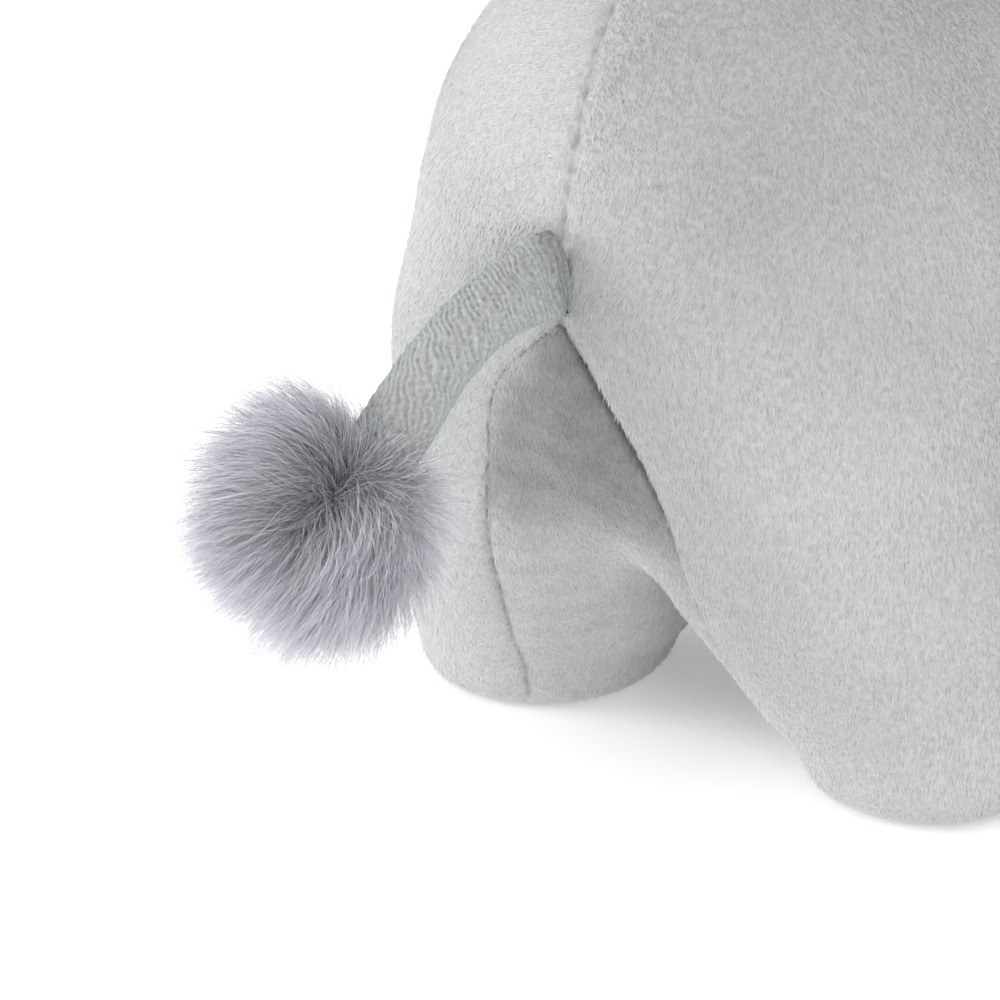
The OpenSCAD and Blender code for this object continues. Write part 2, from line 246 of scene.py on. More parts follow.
# Ellipsoids down a leg: how far each is in from the sole's middle, and along the body, its
# height, its half sizes, and its share of the leg's extra width.
LEG_RUN = [
    (22, 16, 88, (34, 36, 44), 1),
    (18, 13, 64, (34, 35, 34), 1),
    (13, 9.5, 48, (32, 33, 26), 1),
    (7, 5, 28, (30, 31, 20), 0.5),
]


def leg_forms(sole, wide, back):
    """Ellipsoids down one leg, and its foot, from the place of the leg's sole."""
    lo, hi = node_box(sole)
    x, y = (lo + hi)[:2] / 2
    rx, ry = (hi - lo)[:2] / 2 + FOOT_PAST_SOLE
    run = [form(x - into, y + along * back, z, a + share * wide, b + share * wide, c)
           for into, along, z, (a, b, c), share in LEG_RUN]
    run.append(form(x - 1.5, y + back, 15, rx, ry, 13))
    return run, form(x, y, FOOT_TOP / 2, rx, ry, FOOT_TOP / 2)


LEGS = [leg_forms("sole_hind_left", 6, 1.0), leg_forms("sole_fore_left", 0, 0.3)]


def leg(p, parts):
    run, (centre, half) = parts
    body = chain(p, run, 2, 4)
    round_x = (p[..., 0] - centre[0]) / half[0]
    round_y = (p[..., 1] - centre[1]) / half[1]
    side = (np.hypot(round_x, round_y) - 1) * half[:2].min() + FOOT_EDGE
    rise = np.abs(p[..., 2] - centre[2]) - half[2] + FOOT_EDGE
    foot = np.hypot(np.maximum(side, 0), np.maximum(rise, 0))
    foot += np.minimum(np.maximum(side, rise), 0) - FOOT_EDGE
    return smooth_max(smooth_min(body, foot, 6), -p[..., 2], 2)


def mirrored(p):
    q = p.copy()
    q[..., 0] = np.abs(q[..., 0])
    return q


BACK_TAPER = 0.075
TAPER_FROM = 104
TAPER_OVER = 60


def barrel(p):
    """The body without its legs, narrower towards the back than an ellipsoid."""
    t = np.clip((p[..., 2] - TAPER_FROM) / TAPER_OVER, 0, 1)
    q = p.copy()
    q[..., 0] *= 1 + BACK_TAPER * t * t * (3 - 2 * t)
    return chain(q, TORSO, 3, 5)


def torso(p):
    d = barrel(p)
    for parts in LEGS:
        d = smooth_min(d, leg(p, parts), 5)
    return d


def smooth_line(knots, count):
    """Points spread along a smooth curve through the knots (Catmull-Rom)."""
    k = np.array([2 * np.array(knots[0]) - knots[1], *knots,
                  2 * np.array(knots[-1]) - knots[-2]], float)
    out = []
    for i in range(1, len(k) - 2):
        t = np.linspace(0, 1, 60, endpoint=False)[:, None]
        a, b, c, d = k[i - 1], k[i], k[i + 1], k[i + 2]
        out.append(0.5 * (2 * b + (c - a) * t + (2 * a - 5 * b + 4 * c - d) * t ** 2
                          + (3 * b - a - 3 * c + d) * t ** 3))
    line = np.concatenate(out + [k[-2:-1]])
    length = np.concatenate([[0], np.cumsum(np.linalg.norm(np.diff(line, axis=0), axis=1))])
    at = np.linspace(0, length[-1], count)
    return np.stack([np.interp(at, length, line[:, j]) for j in range(line.shape[1])], 1), at


TRUNK_AHEAD = unit(TRUNK_CURL - TRUNK_ROOT)
TRUNK_PATH = [
    TRUNK_ROOT, (TRUNK_ROOT + TRUNK_CURL) / 2 + np.array([0, -1.5, 1.5]), TRUNK_CURL,
    TRUNK_CURL + np.array([0, -4, -15]), TRUNK_CURL + np.array([0, -4.5, -29]),
    TRUNK_CURL + np.array([0, -7.5, -40]), TRUNK_CURL + np.array([0, -12.5, -48]),
]
TRUNK_RADII = [22.6, 19.8, 17.2, 15.2, 13.6, 12.6, 11.4]
TRUNK_STEPS = 15
TRUNK_LINE, _ = smooth_line(np.column_stack([TRUNK_PATH, TRUNK_RADII]), TRUNK_STEPS)


def trunk(p):
    parts = [rod(p, a[:3], b[:3], a[3], b[3]) for a, b in zip(TRUNK_LINE[:-1], TRUNK_LINE[1:])]
    return np.min(parts, axis=0)


# An ear has its own axes: out to its rim, up along its seam, and through its thickness.
EAR_ANGLE = math.radians(52)
EAR_LEVEL = np.array([math.sin(EAR_ANGLE), math.cos(EAR_ANGLE), 0])
EAR_OUT = unit(EAR_LEVEL - (EAR_LEVEL @ EAR_UP) * EAR_UP)
EAR_THROUGH = np.cross(EAR_OUT, EAR_UP)
EAR_FRONT = 1.0 if EAR_THROUGH[1] < 0 else -1.0
EAR_WIDTH = 62
EAR_HEIGHT = 84
EAR_THICK = 8
EAR_SUNK = 1
EAR_DROP = 4
EAR_WAVE = 0.05
EAR_WAVE_TURN = math.radians(60)
EAR_EDGE = 2.6
NECK_BLEND = 5
TRUNK_BLEND = 9
EAR_BLEND = 4


def ear_coords(p):
    q = p - EAR_AT
    return q @ EAR_OUT, q @ EAR_UP, q @ EAR_THROUGH


def crown(r, top, least):
    """How far a pillow stands out, for r from 0 at its middle to 1 at its edge."""
    return np.sqrt(np.clip(top - np.clip(r, 0, 1) ** 3, least, 1))


def ear(p):
    u, v, n = ear_coords(p)
    u0 = u - EAR_WIDTH / 2 + EAR_SUNK
    v0 = v + EAR_DROP
    wave = 1 + EAR_WAVE * np.cos(2 * np.arctan2(v0, u0) - EAR_WAVE_TURN)
    r = np.hypot(u0 / (EAR_WIDTH / 2), v0 / (EAR_HEIGHT / 2)) / wave
    rim = (r - 1) * EAR_WIDTH / 2
    return smooth_max(rim, np.abs(n) - EAR_THICK / 2 * crown(r, 1.02, 0.36), EAR_EDGE)


def head(p):
    return chain(p, HEAD, 2, 6)


def whole(p):
    """The left half of the animal, and by mirror the right."""
    p = mirrored(p)
    d = smooth_min(torso(p), head(p), NECK_BLEND)
    d = smooth_min(d, trunk(p), TRUNK_BLEND)
    return smooth_min(d, ear(p), EAR_BLEND)


# ---------------------------------------------------------------- mesh work
CELL = 1.15
FIELD_CHUNK = 400000


def slope(f, p, step=0.05):
    """Gradient of a distance function at each point."""
    out = np.empty_like(p)
    for k in range(3):
        shift = np.zeros(3)
        shift[k] = step
        out[:, k] = (f(p + shift) - f(p - shift)) / (2 * step)
    return out


def settle(f, p, rounds):
    """Moves points onto the surface where f is zero."""
    for _ in range(rounds):
        g = slope(f, p)
        p = p - g * (f(p) / np.maximum((g * g).sum(1), 1e-6))[:, None]
    return p


def field(f, axes, near=7.0, coarse=4):
    """Values of f on a grid, exact near the surface and coarse away from it."""
    rough = [a[::coarse] for a in axes]
    grid = np.stack(np.meshgrid(*rough, indexing="ij"), -1)
    value = f(grid)
    for k in range(3):
        value = np.repeat(value, coarse, axis=k)
    value = value[:len(axes[0]), :len(axes[1]), :len(axes[2])].astype(np.float32)
    where = np.argwhere(np.abs(value) < near)
    for start in range(0, len(where), FIELD_CHUNK):
        at = where[start:start + FIELD_CHUNK]
        point = np.stack([axes[k][at[:, k]] for k in range(3)], -1)
        value[tuple(at.T)] = f(point)
    return value


def surface_net(f, lo, hi, cell):
    """Quads round the surface where f is zero: one point in each cell that it crosses."""
    axes = [np.arange(lo[k], hi[k] + cell, cell) for k in range(3)]
    value = field(f, axes)
    inside = value < 0
    n = np.array(value.shape) - 1
    blocks = [inside[i:i + n[0], j:j + n[1], k:k + n[2]]
              for i in (0, 1) for j in (0, 1) for k in (0, 1)]
    mixed = ~(np.logical_and.reduce(blocks) | ~np.logical_or.reduce(blocks))
    where = np.argwhere(mixed)
    index = np.full(mixed.shape, -1, np.int64)
    index[mixed] = np.arange(len(where))
    points = np.stack([axes[k][where[:, k]] for k in range(3)], -1) + cell / 2
    quads = []
    for axis in range(3):
        u, v = (axis + 1) % 3, (axis + 2) % 3
        head = [slice(None)] * 3
        tail = [slice(None)] * 3
        head[axis] = slice(0, -1)
        tail[axis] = slice(1, None)
        first, second = inside[tuple(head)], inside[tuple(tail)]
        for outward in (True, False):
            hit = np.argwhere((first & ~second) if outward else (~first & second))
            hit = hit[(hit[:, u] > 0) & (hit[:, v] > 0) & (hit[:, u] < n[u]) & (hit[:, v] < n[v])]
            ring = []
            for du, dv in ((1, 1), (0, 1), (0, 0), (1, 0)):
                at = hit.copy()
                at[:, u] -= du
                at[:, v] -= dv
                ring.append(index[tuple(at.T)])
            quad = np.stack(ring, 1)
            quads.append(quad if outward else quad[:, ::-1])
    return points, np.concatenate(quads)


def relax(points, faces, amount):
    """Moves each point part of the way to the mean of its neighbours."""
    total = np.zeros_like(points)
    count = np.zeros(len(points))
    for k in range(faces.shape[1]):
        a, b = faces[:, k], faces[:, (k + 1) % faces.shape[1]]
        for i, j in ((a, b), (b, a)):
            np.add.at(total, i, points[j])
            np.add.at(count, i, 1)
    return points + amount * (total / np.maximum(count, 1)[:, None] - points)


def halved(quads):
    """Each four-sided face as two triangles."""
    return np.concatenate([quads[:, [0, 1, 2]], quads[:, [0, 2, 3]]])


def in_surface(way, normal):
    """The part of each way that lies in the surface."""
    return way - (way * normal).sum(1)[:, None] * normal


def corner_normals(points, tris):
    a, b, c = (points[tris[:, k]] for k in range(3))
    flat = np.cross(b - a, c - a)
    out = np.zeros_like(points)
    for k in range(3):
        np.add.at(out, tris[:, k], flat)
    return unit(out)


def shortest_edge(points, tris):
    """The length of the shortest triangle side at each point."""
    out = np.full(len(points), np.inf)
    for k in range(3):
        a, b = tris[:, k], tris[:, (k + 1) % 3]
        length = np.linalg.norm(points[a] - points[b], axis=1)
        np.minimum.at(out, a, length)
        np.minimum.at(out, b, length)
    return out


# Points this near the cut, in triangle sides, move onto it, where it is steep enough.
SNAP = 0.25
LEAST_PACE = 0.05


def cut(points, tris, labels, g, which, new_label):
    """Cuts the triangles labelled which along g = 0; where g < 0 they become new_label."""
    value = g(points)
    grad = in_surface(slope(g, points), corner_normals(points, tris))
    pace = np.maximum(np.linalg.norm(grad, axis=1), 1e-6)
    mine = np.zeros(len(points), bool)
    mine[tris[np.isin(labels, which)]] = True
    snapped = np.abs(value) < SNAP * shortest_edge(points, tris) * pace
    near = mine & snapped & (pace > LEAST_PACE)
    points = points.copy()
    points[near] -= grad[near] * (value[near] / pace[near] ** 2)[:, None]
    value[near] = 0
    sign = np.sign(value).astype(int)
    at = sign[tris]
    crossed = np.isin(labels, which) & (at.max(1) > 0) & (at.min(1) < 0)
    added, made, new_tris, new_labels = [], {}, [], []

    def between(i, j):
        key = (min(i, j), max(i, j))
        if key not in made:
            made[key] = len(points) + len(added)
            added.append(points[i] + (points[j] - points[i]) * value[i] / (value[i] - value[j]))
        return made[key]

    for k in np.flatnonzero(crossed):
        a, b, c = (int(i) for i in tris[k])
        while not (sign[a] == 0 or (sign[a] != sign[b] and sign[a] != sign[c]
                                    and 0 not in (sign[b], sign[c]))):
            a, b, c = b, c, a
        if sign[a] == 0:
            m = between(b, c)
            split = [((a, b, m), sign[b]), ((a, m, c), sign[c])]
        else:
            m, n = between(a, b), between(a, c)
            split = [((a, m, n), sign[a]), ((m, b, c), sign[b]), ((m, c, n), sign[c])]
        for tri, side in split:
            new_tris.append(tri)
            new_labels.append(new_label if side < 0 else labels[k])
    labels = labels.copy()
    labels[np.isin(labels, which) & ~crossed & (at.sum(1) < 0)] = new_label
    if new_tris:
        points = np.concatenate([points, np.array(added)])
        tris = np.concatenate([tris[~crossed], np.array(new_tris)])
        labels = np.concatenate([labels[~crossed], np.array(new_labels)])
    return points, tris, labels


# ---------------------------------------------------------------- the sewing plan
GUSSET_TOP = 106
GUSSET_MID = (22, 88)
GUSSET_MID_RIGHT = (16.5, 74)
GUSSET_FOOT = 37
GUSSET_FOOT_RIGHT = 31
STRIP_HALF = 13
STRIP_FOOT = 118
CORNER_ROUND = 6
SOLE_RISE = 3.2
SIDES = ((1, "left"), (-1, "right"))


def gusset_side(p):
    """Below zero inside the gusset, seen along the animal."""
    x, z = np.abs(p[..., 0]), p[..., 2]
    left = p[..., 0] > 0
    mid_x, mid_z = (np.where(left, GUSSET_MID[k], GUSSET_MID_RIGHT[k]) for k in (0, 1))
    high = GUSSET_TOP - mid_z
    upper = (x * high + (z - GUSSET_TOP) * mid_x) / np.hypot(high, mid_x)
    wide = np.where(left, GUSSET_FOOT, GUSSET_FOOT_RIGHT) - mid_x
    lower = ((x - mid_x) * mid_z + (z - mid_z) * wide) / np.hypot(wide, mid_z)
    return smooth_max(upper, lower, CORNER_ROUND)


def strip_side(p):
    """Below zero inside the strip over the forehead."""
    return smooth_max(np.abs(p[..., 0]) - STRIP_HALF, STRIP_FOOT - p[..., 2], CORNER_ROUND)


TRUNK_SEAM = 15
TRUNK_BACK = -96
TRUNK_SKIN = 6
TIP_UP = np.array([0, 0.35, 0.94])
EAR_SEAM = 3.5
EAR_REACH = 9


def trunk_side(p):
    """Below zero on the trunk, past its seam with the face."""
    along = (p - TRUNK_ROOT) @ TRUNK_AHEAD
    face = np.maximum(TRUNK_SEAM - along, p[..., 1] - TRUNK_BACK)
    return np.maximum(face, trunk(p) - TRUNK_SKIN)


def tip_side(p):
    return (p - TRUNK_CURL) @ TIP_UP


def ear_side(p):
    out, _, through = ear_coords(mirrored(p))
    return np.maximum(EAR_SEAM - out, np.abs(through) - EAR_REACH)


def lining_side(p):
    """Below zero on the ear's front."""
    return ear_coords(mirrored(p))[2] * EAR_FRONT


def neck_side(p):
    """Below zero where the head stands out of the body."""
    q = mirrored(p)
    return head(q) - torso(q)


def sole_side(p):
    return p[..., 2] - SOLE_RISE


def left_side(p):
    return -p[..., 0]


# The sewn pieces of skin. A piece's label is its place in PANELS; the four soles come last.
PANELS = [
    "body_panel_left", "body_panel_right", "belly_gusset", "head_panel_left",
    "head_panel_right", "head_gusset", "trunk_base_cover", "trunk_tip_cover",
    "ear_back_left", "ear_back_right", "ear_front_left", "ear_front_right",
    "sole_hind_left", "sole_hind_right", "sole_fore_left", "sole_fore_right",
]
BODY_L, BODY_R, GUSSET, HEAD_L, HEAD_R, STRIP, TRUNK, TIP = range(8)
EAR_BACK_L, EAR_BACK_R, EAR_FRONT_L, EAR_FRONT_R, SOLE = range(8, 13)
FORE_LEGS_BEFORE = -10
# Each cut in turn: where it runs, the labels it goes through, and the label inside it.
CUTS = [
    (trunk_side, [BODY_R], TRUNK), (tip_side, [TRUNK], TIP),
    (ear_side, [BODY_R], EAR_BACK_R), (lining_side, [EAR_BACK_R], EAR_FRONT_R),
    (neck_side, [BODY_R], HEAD_R), (strip_side, [HEAD_R], STRIP),
    (gusset_side, [BODY_R], GUSSET), (sole_side, [BODY_R, GUSSET], SOLE),
    (left_side, [BODY_R], BODY_L), (left_side, [HEAD_R], HEAD_L),
]


def cut_panels(points, tris):
    """Labels every triangle with its panel, cutting the mesh along the seams."""
    labels = np.full(len(tris), BODY_R)
    for side, which, inside in CUTS:
        points, tris, labels = cut(points, tris, labels, side, which, inside)
    at = points[tris].mean(1)
    for right, left in ((EAR_BACK_R, EAR_BACK_L), (EAR_FRONT_R, EAR_FRONT_L)):
        labels[(labels == right) & (at[:, 0] > 0)] = left
    sole = labels == SOLE
    labels[sole] += (at[sole, 0] < 0) + 2 * (at[sole, 1] < FORE_LEGS_BEFORE)
    return points, tris, labels


RIPPLE_WAVES = 9
RIPPLE_SCALE = 3.2
RIPPLE_TURN = 6.3


def ripple(p, length, seed):
    """Smooth noise, mostly between -1 and 1, with waves of roughly the given length."""
    draw = np.random.default_rng(seed)
    total = np.zeros(len(p))
    for _ in range(RIPPLE_WAVES):
        wave = unit(draw.normal(size=3)) * 2 * math.pi / (length * draw.uniform(0.7, 1.5))
        total += np.sin(p @ wave + draw.uniform(0, RIPPLE_TURN))
    return total / RIPPLE_SCALE


def seam_points(tris, labels, skip=()):
    """The triangle sides between two panels, but not at the soles or between the pairs in skip."""
    pairs = np.sort(tris[:, [0, 1, 1, 2, 2, 0]].reshape(-1, 2), 1)
    owner = np.repeat(labels, 3)
    order = np.lexsort((pairs[:, 1], pairs[:, 0]))
    pairs, owner = pairs[order], owner[order]
    same = (pairs[1:] == pairs[:-1]).all(1)
    edge = np.flatnonzero(same & (owner[1:] != owner[:-1]))
    keep = [k for k in edge if {int(owner[k]), int(owner[k + 1])} not in skip
            and max(owner[k], owner[k + 1]) < SOLE]
    return pairs[keep]


def seam_distance(points, edges, reach):
    """How far each point is from the nearest seam, up to reach."""
    ends = np.concatenate([points[edges[:, 0]], points[edges].mean(1), points[edges[:, 1]]])
    cells = {}
    keys = np.floor(ends / reach).astype(int)
    for i, key in enumerate(map(tuple, keys)):
        cells.setdefault(key, []).append(i)
    out = np.full(len(points), reach)
    near = {}
    for i, key in enumerate(map(tuple, np.floor(points / reach).astype(int))):
        near.setdefault(key, []).append(i)
    for key, mine in near.items():
        around = [cells[c] for c in ((key[0] + i, key[1] + j, key[2] + k)
                                     for i in (-1, 0, 1) for j in (-1, 0, 1) for k in (-1, 0, 1))
                  if c in cells]
        if around:
            group = ends[np.concatenate(around)]
            p = points[mine]
            square = (p ** 2).sum(1) + ((group ** 2).sum(1) - 2 * (p @ group.T)).min(1)
            out[mine] = np.minimum(np.sqrt(np.maximum(square, 0)), reach)
    return out


def refine(points, tris, labels, marked):
    """Splits every triangle side whose two ends are both marked."""
    pairs = np.sort(tris[:, [0, 1, 1, 2, 2, 0]].reshape(-1, 2), 1)
    unique, back = np.unique(pairs, axis=0, return_inverse=True)
    back = back.reshape(-1, 3)
    split = marked[unique].all(1)
    number = np.cumsum(split) - 1 + len(points)
    middle_of = np.where(split, number, -1)[back]
    count = (middle_of >= 0).sum(1)
    fresh = [tris[count == 0]]
    owner = [labels[count == 0]]
    full, (ab, bc, ca) = count == 3, middle_of[count == 3].T
    a, b, c = tris[full].T
    fresh.append(np.stack([a, ab, ca, ab, b, bc, ca, bc, c, ab, bc, ca], 1).reshape(-1, 3))
    owner.append(np.repeat(labels[full], 4))
    for k in range(3):
        one = (count == 1) & (middle_of[:, k] >= 0)
        a, b, c = tris[one][:, [k, (k + 1) % 3, (k + 2) % 3]].T
        m = middle_of[one, k]
        fresh.append(np.stack([a, m, c, m, b, c], 1).reshape(-1, 3))
        owner.append(np.repeat(labels[one], 2))
    points = np.concatenate([points, points[unique[split]].mean(1)])
    return points, np.concatenate(fresh), np.concatenate(owner)


def new_mesh(name, points, faces, normals=None, uv=None, tone=None):
    """A Blender mesh object from arrays in millimetres."""
    mesh = bpy.data.meshes.new(name)
    mesh.vertices.add(len(points))
    mesh.vertices.foreach_set("co", (points * MM).astype(np.float32).ravel())
    sides = faces.shape[1]
    mesh.loops.add(faces.size)
    mesh.loops.foreach_set("vertex_index", faces.astype(np.int32).ravel())
    mesh.polygons.add(len(faces))
    mesh.polygons.foreach_set("loop_start", np.arange(0, faces.size, sides, dtype=np.int32))
    mesh.polygons.foreach_set("loop_total", np.full(len(faces), sides, np.int32))
    mesh.update(calc_edges=True)
    mesh.shade_smooth()
    if uv is not None:
        layer = mesh.uv_layers.new(name="OFBake")
        layer.data.foreach_set("uv", uv[faces.ravel()].astype(np.float32).ravel())
    if tone is not None:
        layer = mesh.attributes.new("tone", "FLOAT", "POINT")
        layer.data.foreach_set("value", tone.astype(np.float32))
    if normals is not None:
        mesh.normals_split_custom_set_from_vertices(normals.astype(np.float32))
    obj = bpy.data.objects.new(name, mesh)
    bpy.context.scene.collection.objects.link(obj)
    return obj


def shell(points, tris, normals, thick):
    """Closes an open piece of skin with an inner face and a rim; also gives normals and sources."""
    used, back = np.unique(tris, return_inverse=True)
    tris = back.reshape(-1, 3)
    outer = points[used]
    inner = outer - normals[used] * thick
    pairs = tris[:, [0, 1, 1, 2, 2, 0]].reshape(-1, 2)
    key = np.sort(pairs, 1)
    _, first, count = np.unique(key, axis=0, return_index=True, return_counts=True)
    rim = pairs[first[count == 1]]
    n = len(outer)
    walls = np.concatenate([np.stack([rim[:, 1], rim[:, 0], rim[:, 0] + n], 1),
                            np.stack([rim[:, 1], rim[:, 0] + n, rim[:, 1] + n], 1)])
    faces = np.concatenate([tris, tris[:, ::-1] + n, walls])
    ways = np.concatenate([normals[used], -normals[used]])
    return np.concatenate([outer, inner]), faces, ways, np.concatenate([used, used])


# ---------------------------------------------------------------- materials
def node_mat(name, rough=0.9, sheen=0.0, tint=(1, 1, 1, 1)):
    mat = bpy.data.materials.new(name)
    mat.use_nodes = True
    shader = mat.node_tree.nodes["Principled BSDF"]
    put(shader, Roughness=rough, Specular_IOR_Level=0.1, Sheen_Weight=sheen,
        Sheen_Roughness=0.5, Sheen_Tint=tint)
    return mat, mat.node_tree, shader


def noise_node(tree, stretch, scale, detail, rough):
    """Noise on the object's own coordinates, finer along the axes that stretch enlarges."""
    noise = tree.nodes.new("ShaderNodeTexNoise")
    put(noise, Scale=scale, Detail=detail, Roughness=rough)
    tree.links.new(stretched(tree, stretch), noise.inputs["Vector"])
    return noise.outputs["Fac"]


def stretched(tree, scale):
    coord = tree.nodes.new("ShaderNodeTexCoord")
    mapping = tree.nodes.new("ShaderNodeMapping")
    put(mapping, Scale=scale)
    tree.links.new(coord.outputs["Object"], mapping.inputs["Vector"])
    return mapping.outputs["Vector"]


def ramp_node(tree, value, stops):
    ramp = tree.nodes.new("ShaderNodeValToRGB")
    while len(ramp.color_ramp.elements) < len(stops):
        ramp.color_ramp.elements.new(0.5)
    for element, (place, colour) in zip(ramp.color_ramp.elements, stops):
        element.position = place
        element.color = (*colour, 1)
    tree.links.new(value, ramp.inputs["Fac"])
    return ramp.outputs["Color"]


def times(tree, colour, factor):
    """One colour multiplied by another."""
    mix = tree.nodes.new("ShaderNodeMix")
    mix.data_type = "RGBA"
    mix.blend_type = "MULTIPLY"
    put(mix, Factor=1)
    tree.links.new(colour, mix.inputs["A"])
    tree.links.new(factor, mix.inputs["B"])
    return mix.outputs["Result"]


def add_bump(tree, shader, height, strength, distance):
    bumps = tree.nodes.new("ShaderNodeBump")
    put(bumps, Strength=strength, Distance=distance)
    tree.links.new(height, bumps.inputs["Height"])
    tree.links.new(bumps.outputs["Normal"], shader.inputs["Normal"])


def shade(colour, factor):
    return tuple(min(c * factor, 1) for c in colour)


PLUSH = (0.405, 0.412, 0.407)
TAIL_PLUSH = (0.278, 0.291, 0.282)
SKIN_SHADE = 0.86
FUR_ROOT = (0.138, 0.140, 0.172)
FUR_TIP = (0.68, 0.68, 0.74)


def plush_mat(name, colour, bump=0.5, scale=(1450, 1450, 520)):
    """The skin under the pile: strokes down the nap, times the tone that its points carry."""
    mat, tree, shader = node_mat(name, 0.95, 0.35, (*shade(colour, 1.8), 1))
    strokes = noise_node(tree, scale, 1, 2, 0.6)
    stops = [(0.3, shade(colour, 0.8)), (0.5, colour), (0.7, shade(colour, 1.1))]
    tone = tree.nodes.new("ShaderNodeAttribute")
    tone.attribute_name = "tone"
    base = times(tree, ramp_node(tree, strokes, stops), tone.outputs["Color"])
    tree.links.new(base, shader.inputs["Base Color"])
    add_bump(tree, shader, strokes, bump, 0.0006)
    return mat


TONE_LOW = 0.3
TONE_HIGH = 1.15


def tone_uv(tone):
    """Where on the map's first axis a fibre of this tone lies."""
    return np.clip((tone - TONE_LOW) / (TONE_HIGH - TONE_LOW), 0.01, 0.99)


def fibre_mat(name, root, tip, sheen):
    """Fibres whose colour runs from root to tip up the map, and from dark to pale across it."""
    mat, tree, shader = node_mat(name, 0.8, sheen, (*shade(tip, 1.5), 1))
    layer = tree.nodes.new("ShaderNodeUVMap")
    layer.uv_map = "OFBake"
    split = tree.nodes.new("ShaderNodeSeparateXYZ")
    tree.links.new(layer.outputs["UV"], split.inputs["Vector"])
    along = ramp_node(tree, split.outputs["Y"], [(0.0, root), (0.9, tip)])
    spread = tree.nodes.new("ShaderNodeMapRange")
    put(spread, To_Min=TONE_LOW, To_Max=TONE_HIGH)
    tree.links.new(split.outputs["X"], spread.inputs["Value"])
    tree.links.new(times(tree, along, spread.outputs["Result"]), shader.inputs["Base Color"])
    return mat


def flock_mat(name, colour, scale):
    """Loose filling: soft lumps and fine crossed fibres."""
    mat, tree, shader = node_mat(name, 0.95, 0.4)
    lumps = noise_node(tree, (1, 1, 1), scale, 6, 0.7)
    stops = [(0.3, shade(colour, 0.82)), (0.7, colour)]
    tree.links.new(ramp_node(tree, lumps, stops), shader.inputs["Base Color"])
    add_bump(tree, shader, lumps, 0.6, 0.001)
    return mat


def weave_mat(name, colour, pitch):
    """Plain woven cloth with threads at the given pitch."""
    mat, tree, shader = node_mat(name, 0.9, 0.2)
    coords = stretched(tree, (1 / pitch, 1 / pitch, 1 / pitch))
    both = tree.nodes.new("ShaderNodeMath")
    both.operation = "MULTIPLY"
    for k, way in enumerate(("X", "Y")):
        wave = tree.nodes.new("ShaderNodeTexWave")
        wave.bands_direction = way
        put(wave, Scale=0.32, Distortion=0.6)
        tree.links.new(coords, wave.inputs["Vector"])
        tree.links.new(wave.outputs["Fac"], both.inputs[k])
    stops = [(0.0, shade(colour, 0.7)), (0.6, colour)]
    tree.links.new(ramp_node(tree, both.outputs[0], stops), shader.inputs["Base Color"])
    add_bump(tree, shader, both.outputs[0], 0.5, 0.0003)
    return mat


def plastic_mat(name, colour, rough, coat):
    """Moulded plastic with faint marks in its surface."""
    mat, tree, shader = node_mat(name, rough)
    put(shader, Specular_IOR_Level=0.5, Coat_Weight=coat, Coat_Roughness=0.06)
    marks = noise_node(tree, (1, 1, 1), 900, 4, 0.6)
    stops = [(0.35, shade(colour, 0.8)), (0.65, shade(colour, 1.15))]
    tree.links.new(ramp_node(tree, marks, stops), shader.inputs["Base Color"])
    add_bump(tree, shader, marks, 0.05, 0.0002)
    return mat


# ---------------------------------------------------------------- the sewn skin
GRID_MARGIN = 4
FINE_WITHIN = 1.3
SEAM_DEPTH = 0.55
SEAM_HALF = 1.0
TUCK_DEPTH = 0.7
TUCK_HALF = 4.5
SOLE_SEAM_DEPTH = 0.35
SOLE_SEAM_HALF = 0.9
PUCKER_DEPTH = 0.28
PUCKER_RAYS = 13
PUCKER_FROM = 3
PUCKER_HALF = 11
FAN_AT = TAIL_ROOT - np.array([0, 3, 9])
FOLD_DEPTH = 1.2
FOLD_HALF = 1.3
STEP_DEPTH = 1.9
STEP_HALF = 4.5
PILE_SINK = 0.7
REACH = 14.0
EAR_SINK = 0.2
EAR_WAVES = 0.4
# Heights, and places along the body, over which the part under the tail fades in.
RUMP_Z = (52, 88)
RUMP_Y = (40, 66)


def ease(value, low, high):
    """Runs smoothly from 0 at low to 1 at high."""
    t = np.clip((value - low) / (high - low), 0, 1)
    return t * t * (3 - 2 * t)


def bell(value, half):
    """Falls smoothly from 1 at 0 to nearly nothing at twice half."""
    return np.exp(-(value / half) ** 2)


def skin_mesh():
    """The whole skin as points, triangles and panel labels, finer along its seams."""
    lo = np.array(cad_box[0]) / MM - GRID_MARGIN
    hi = np.array(cad_box[1]) / MM + GRID_MARGIN
    lo[2] = -3
    hi[1] = RUMP_AT[1] + GRID_MARGIN
    points, quads = surface_net(whole, lo, hi, CELL)
    points = settle(whole, points, 1)
    points = relax(points, quads, 0.5)
    points = settle(whole, points, 2)
    points, tris, labels = cut_panels(points, halved(quads))
    away = seam_distance(points, seam_points(tris, labels, [{TRUNK, TIP}]), REACH)
    return refine(points, tris, labels, away < FINE_WITHIN)


def touched(tris, count):
    """Which of the points, count in all, belong to these triangles."""
    mine = np.zeros(count, bool)
    mine[tris] = True
    return mine


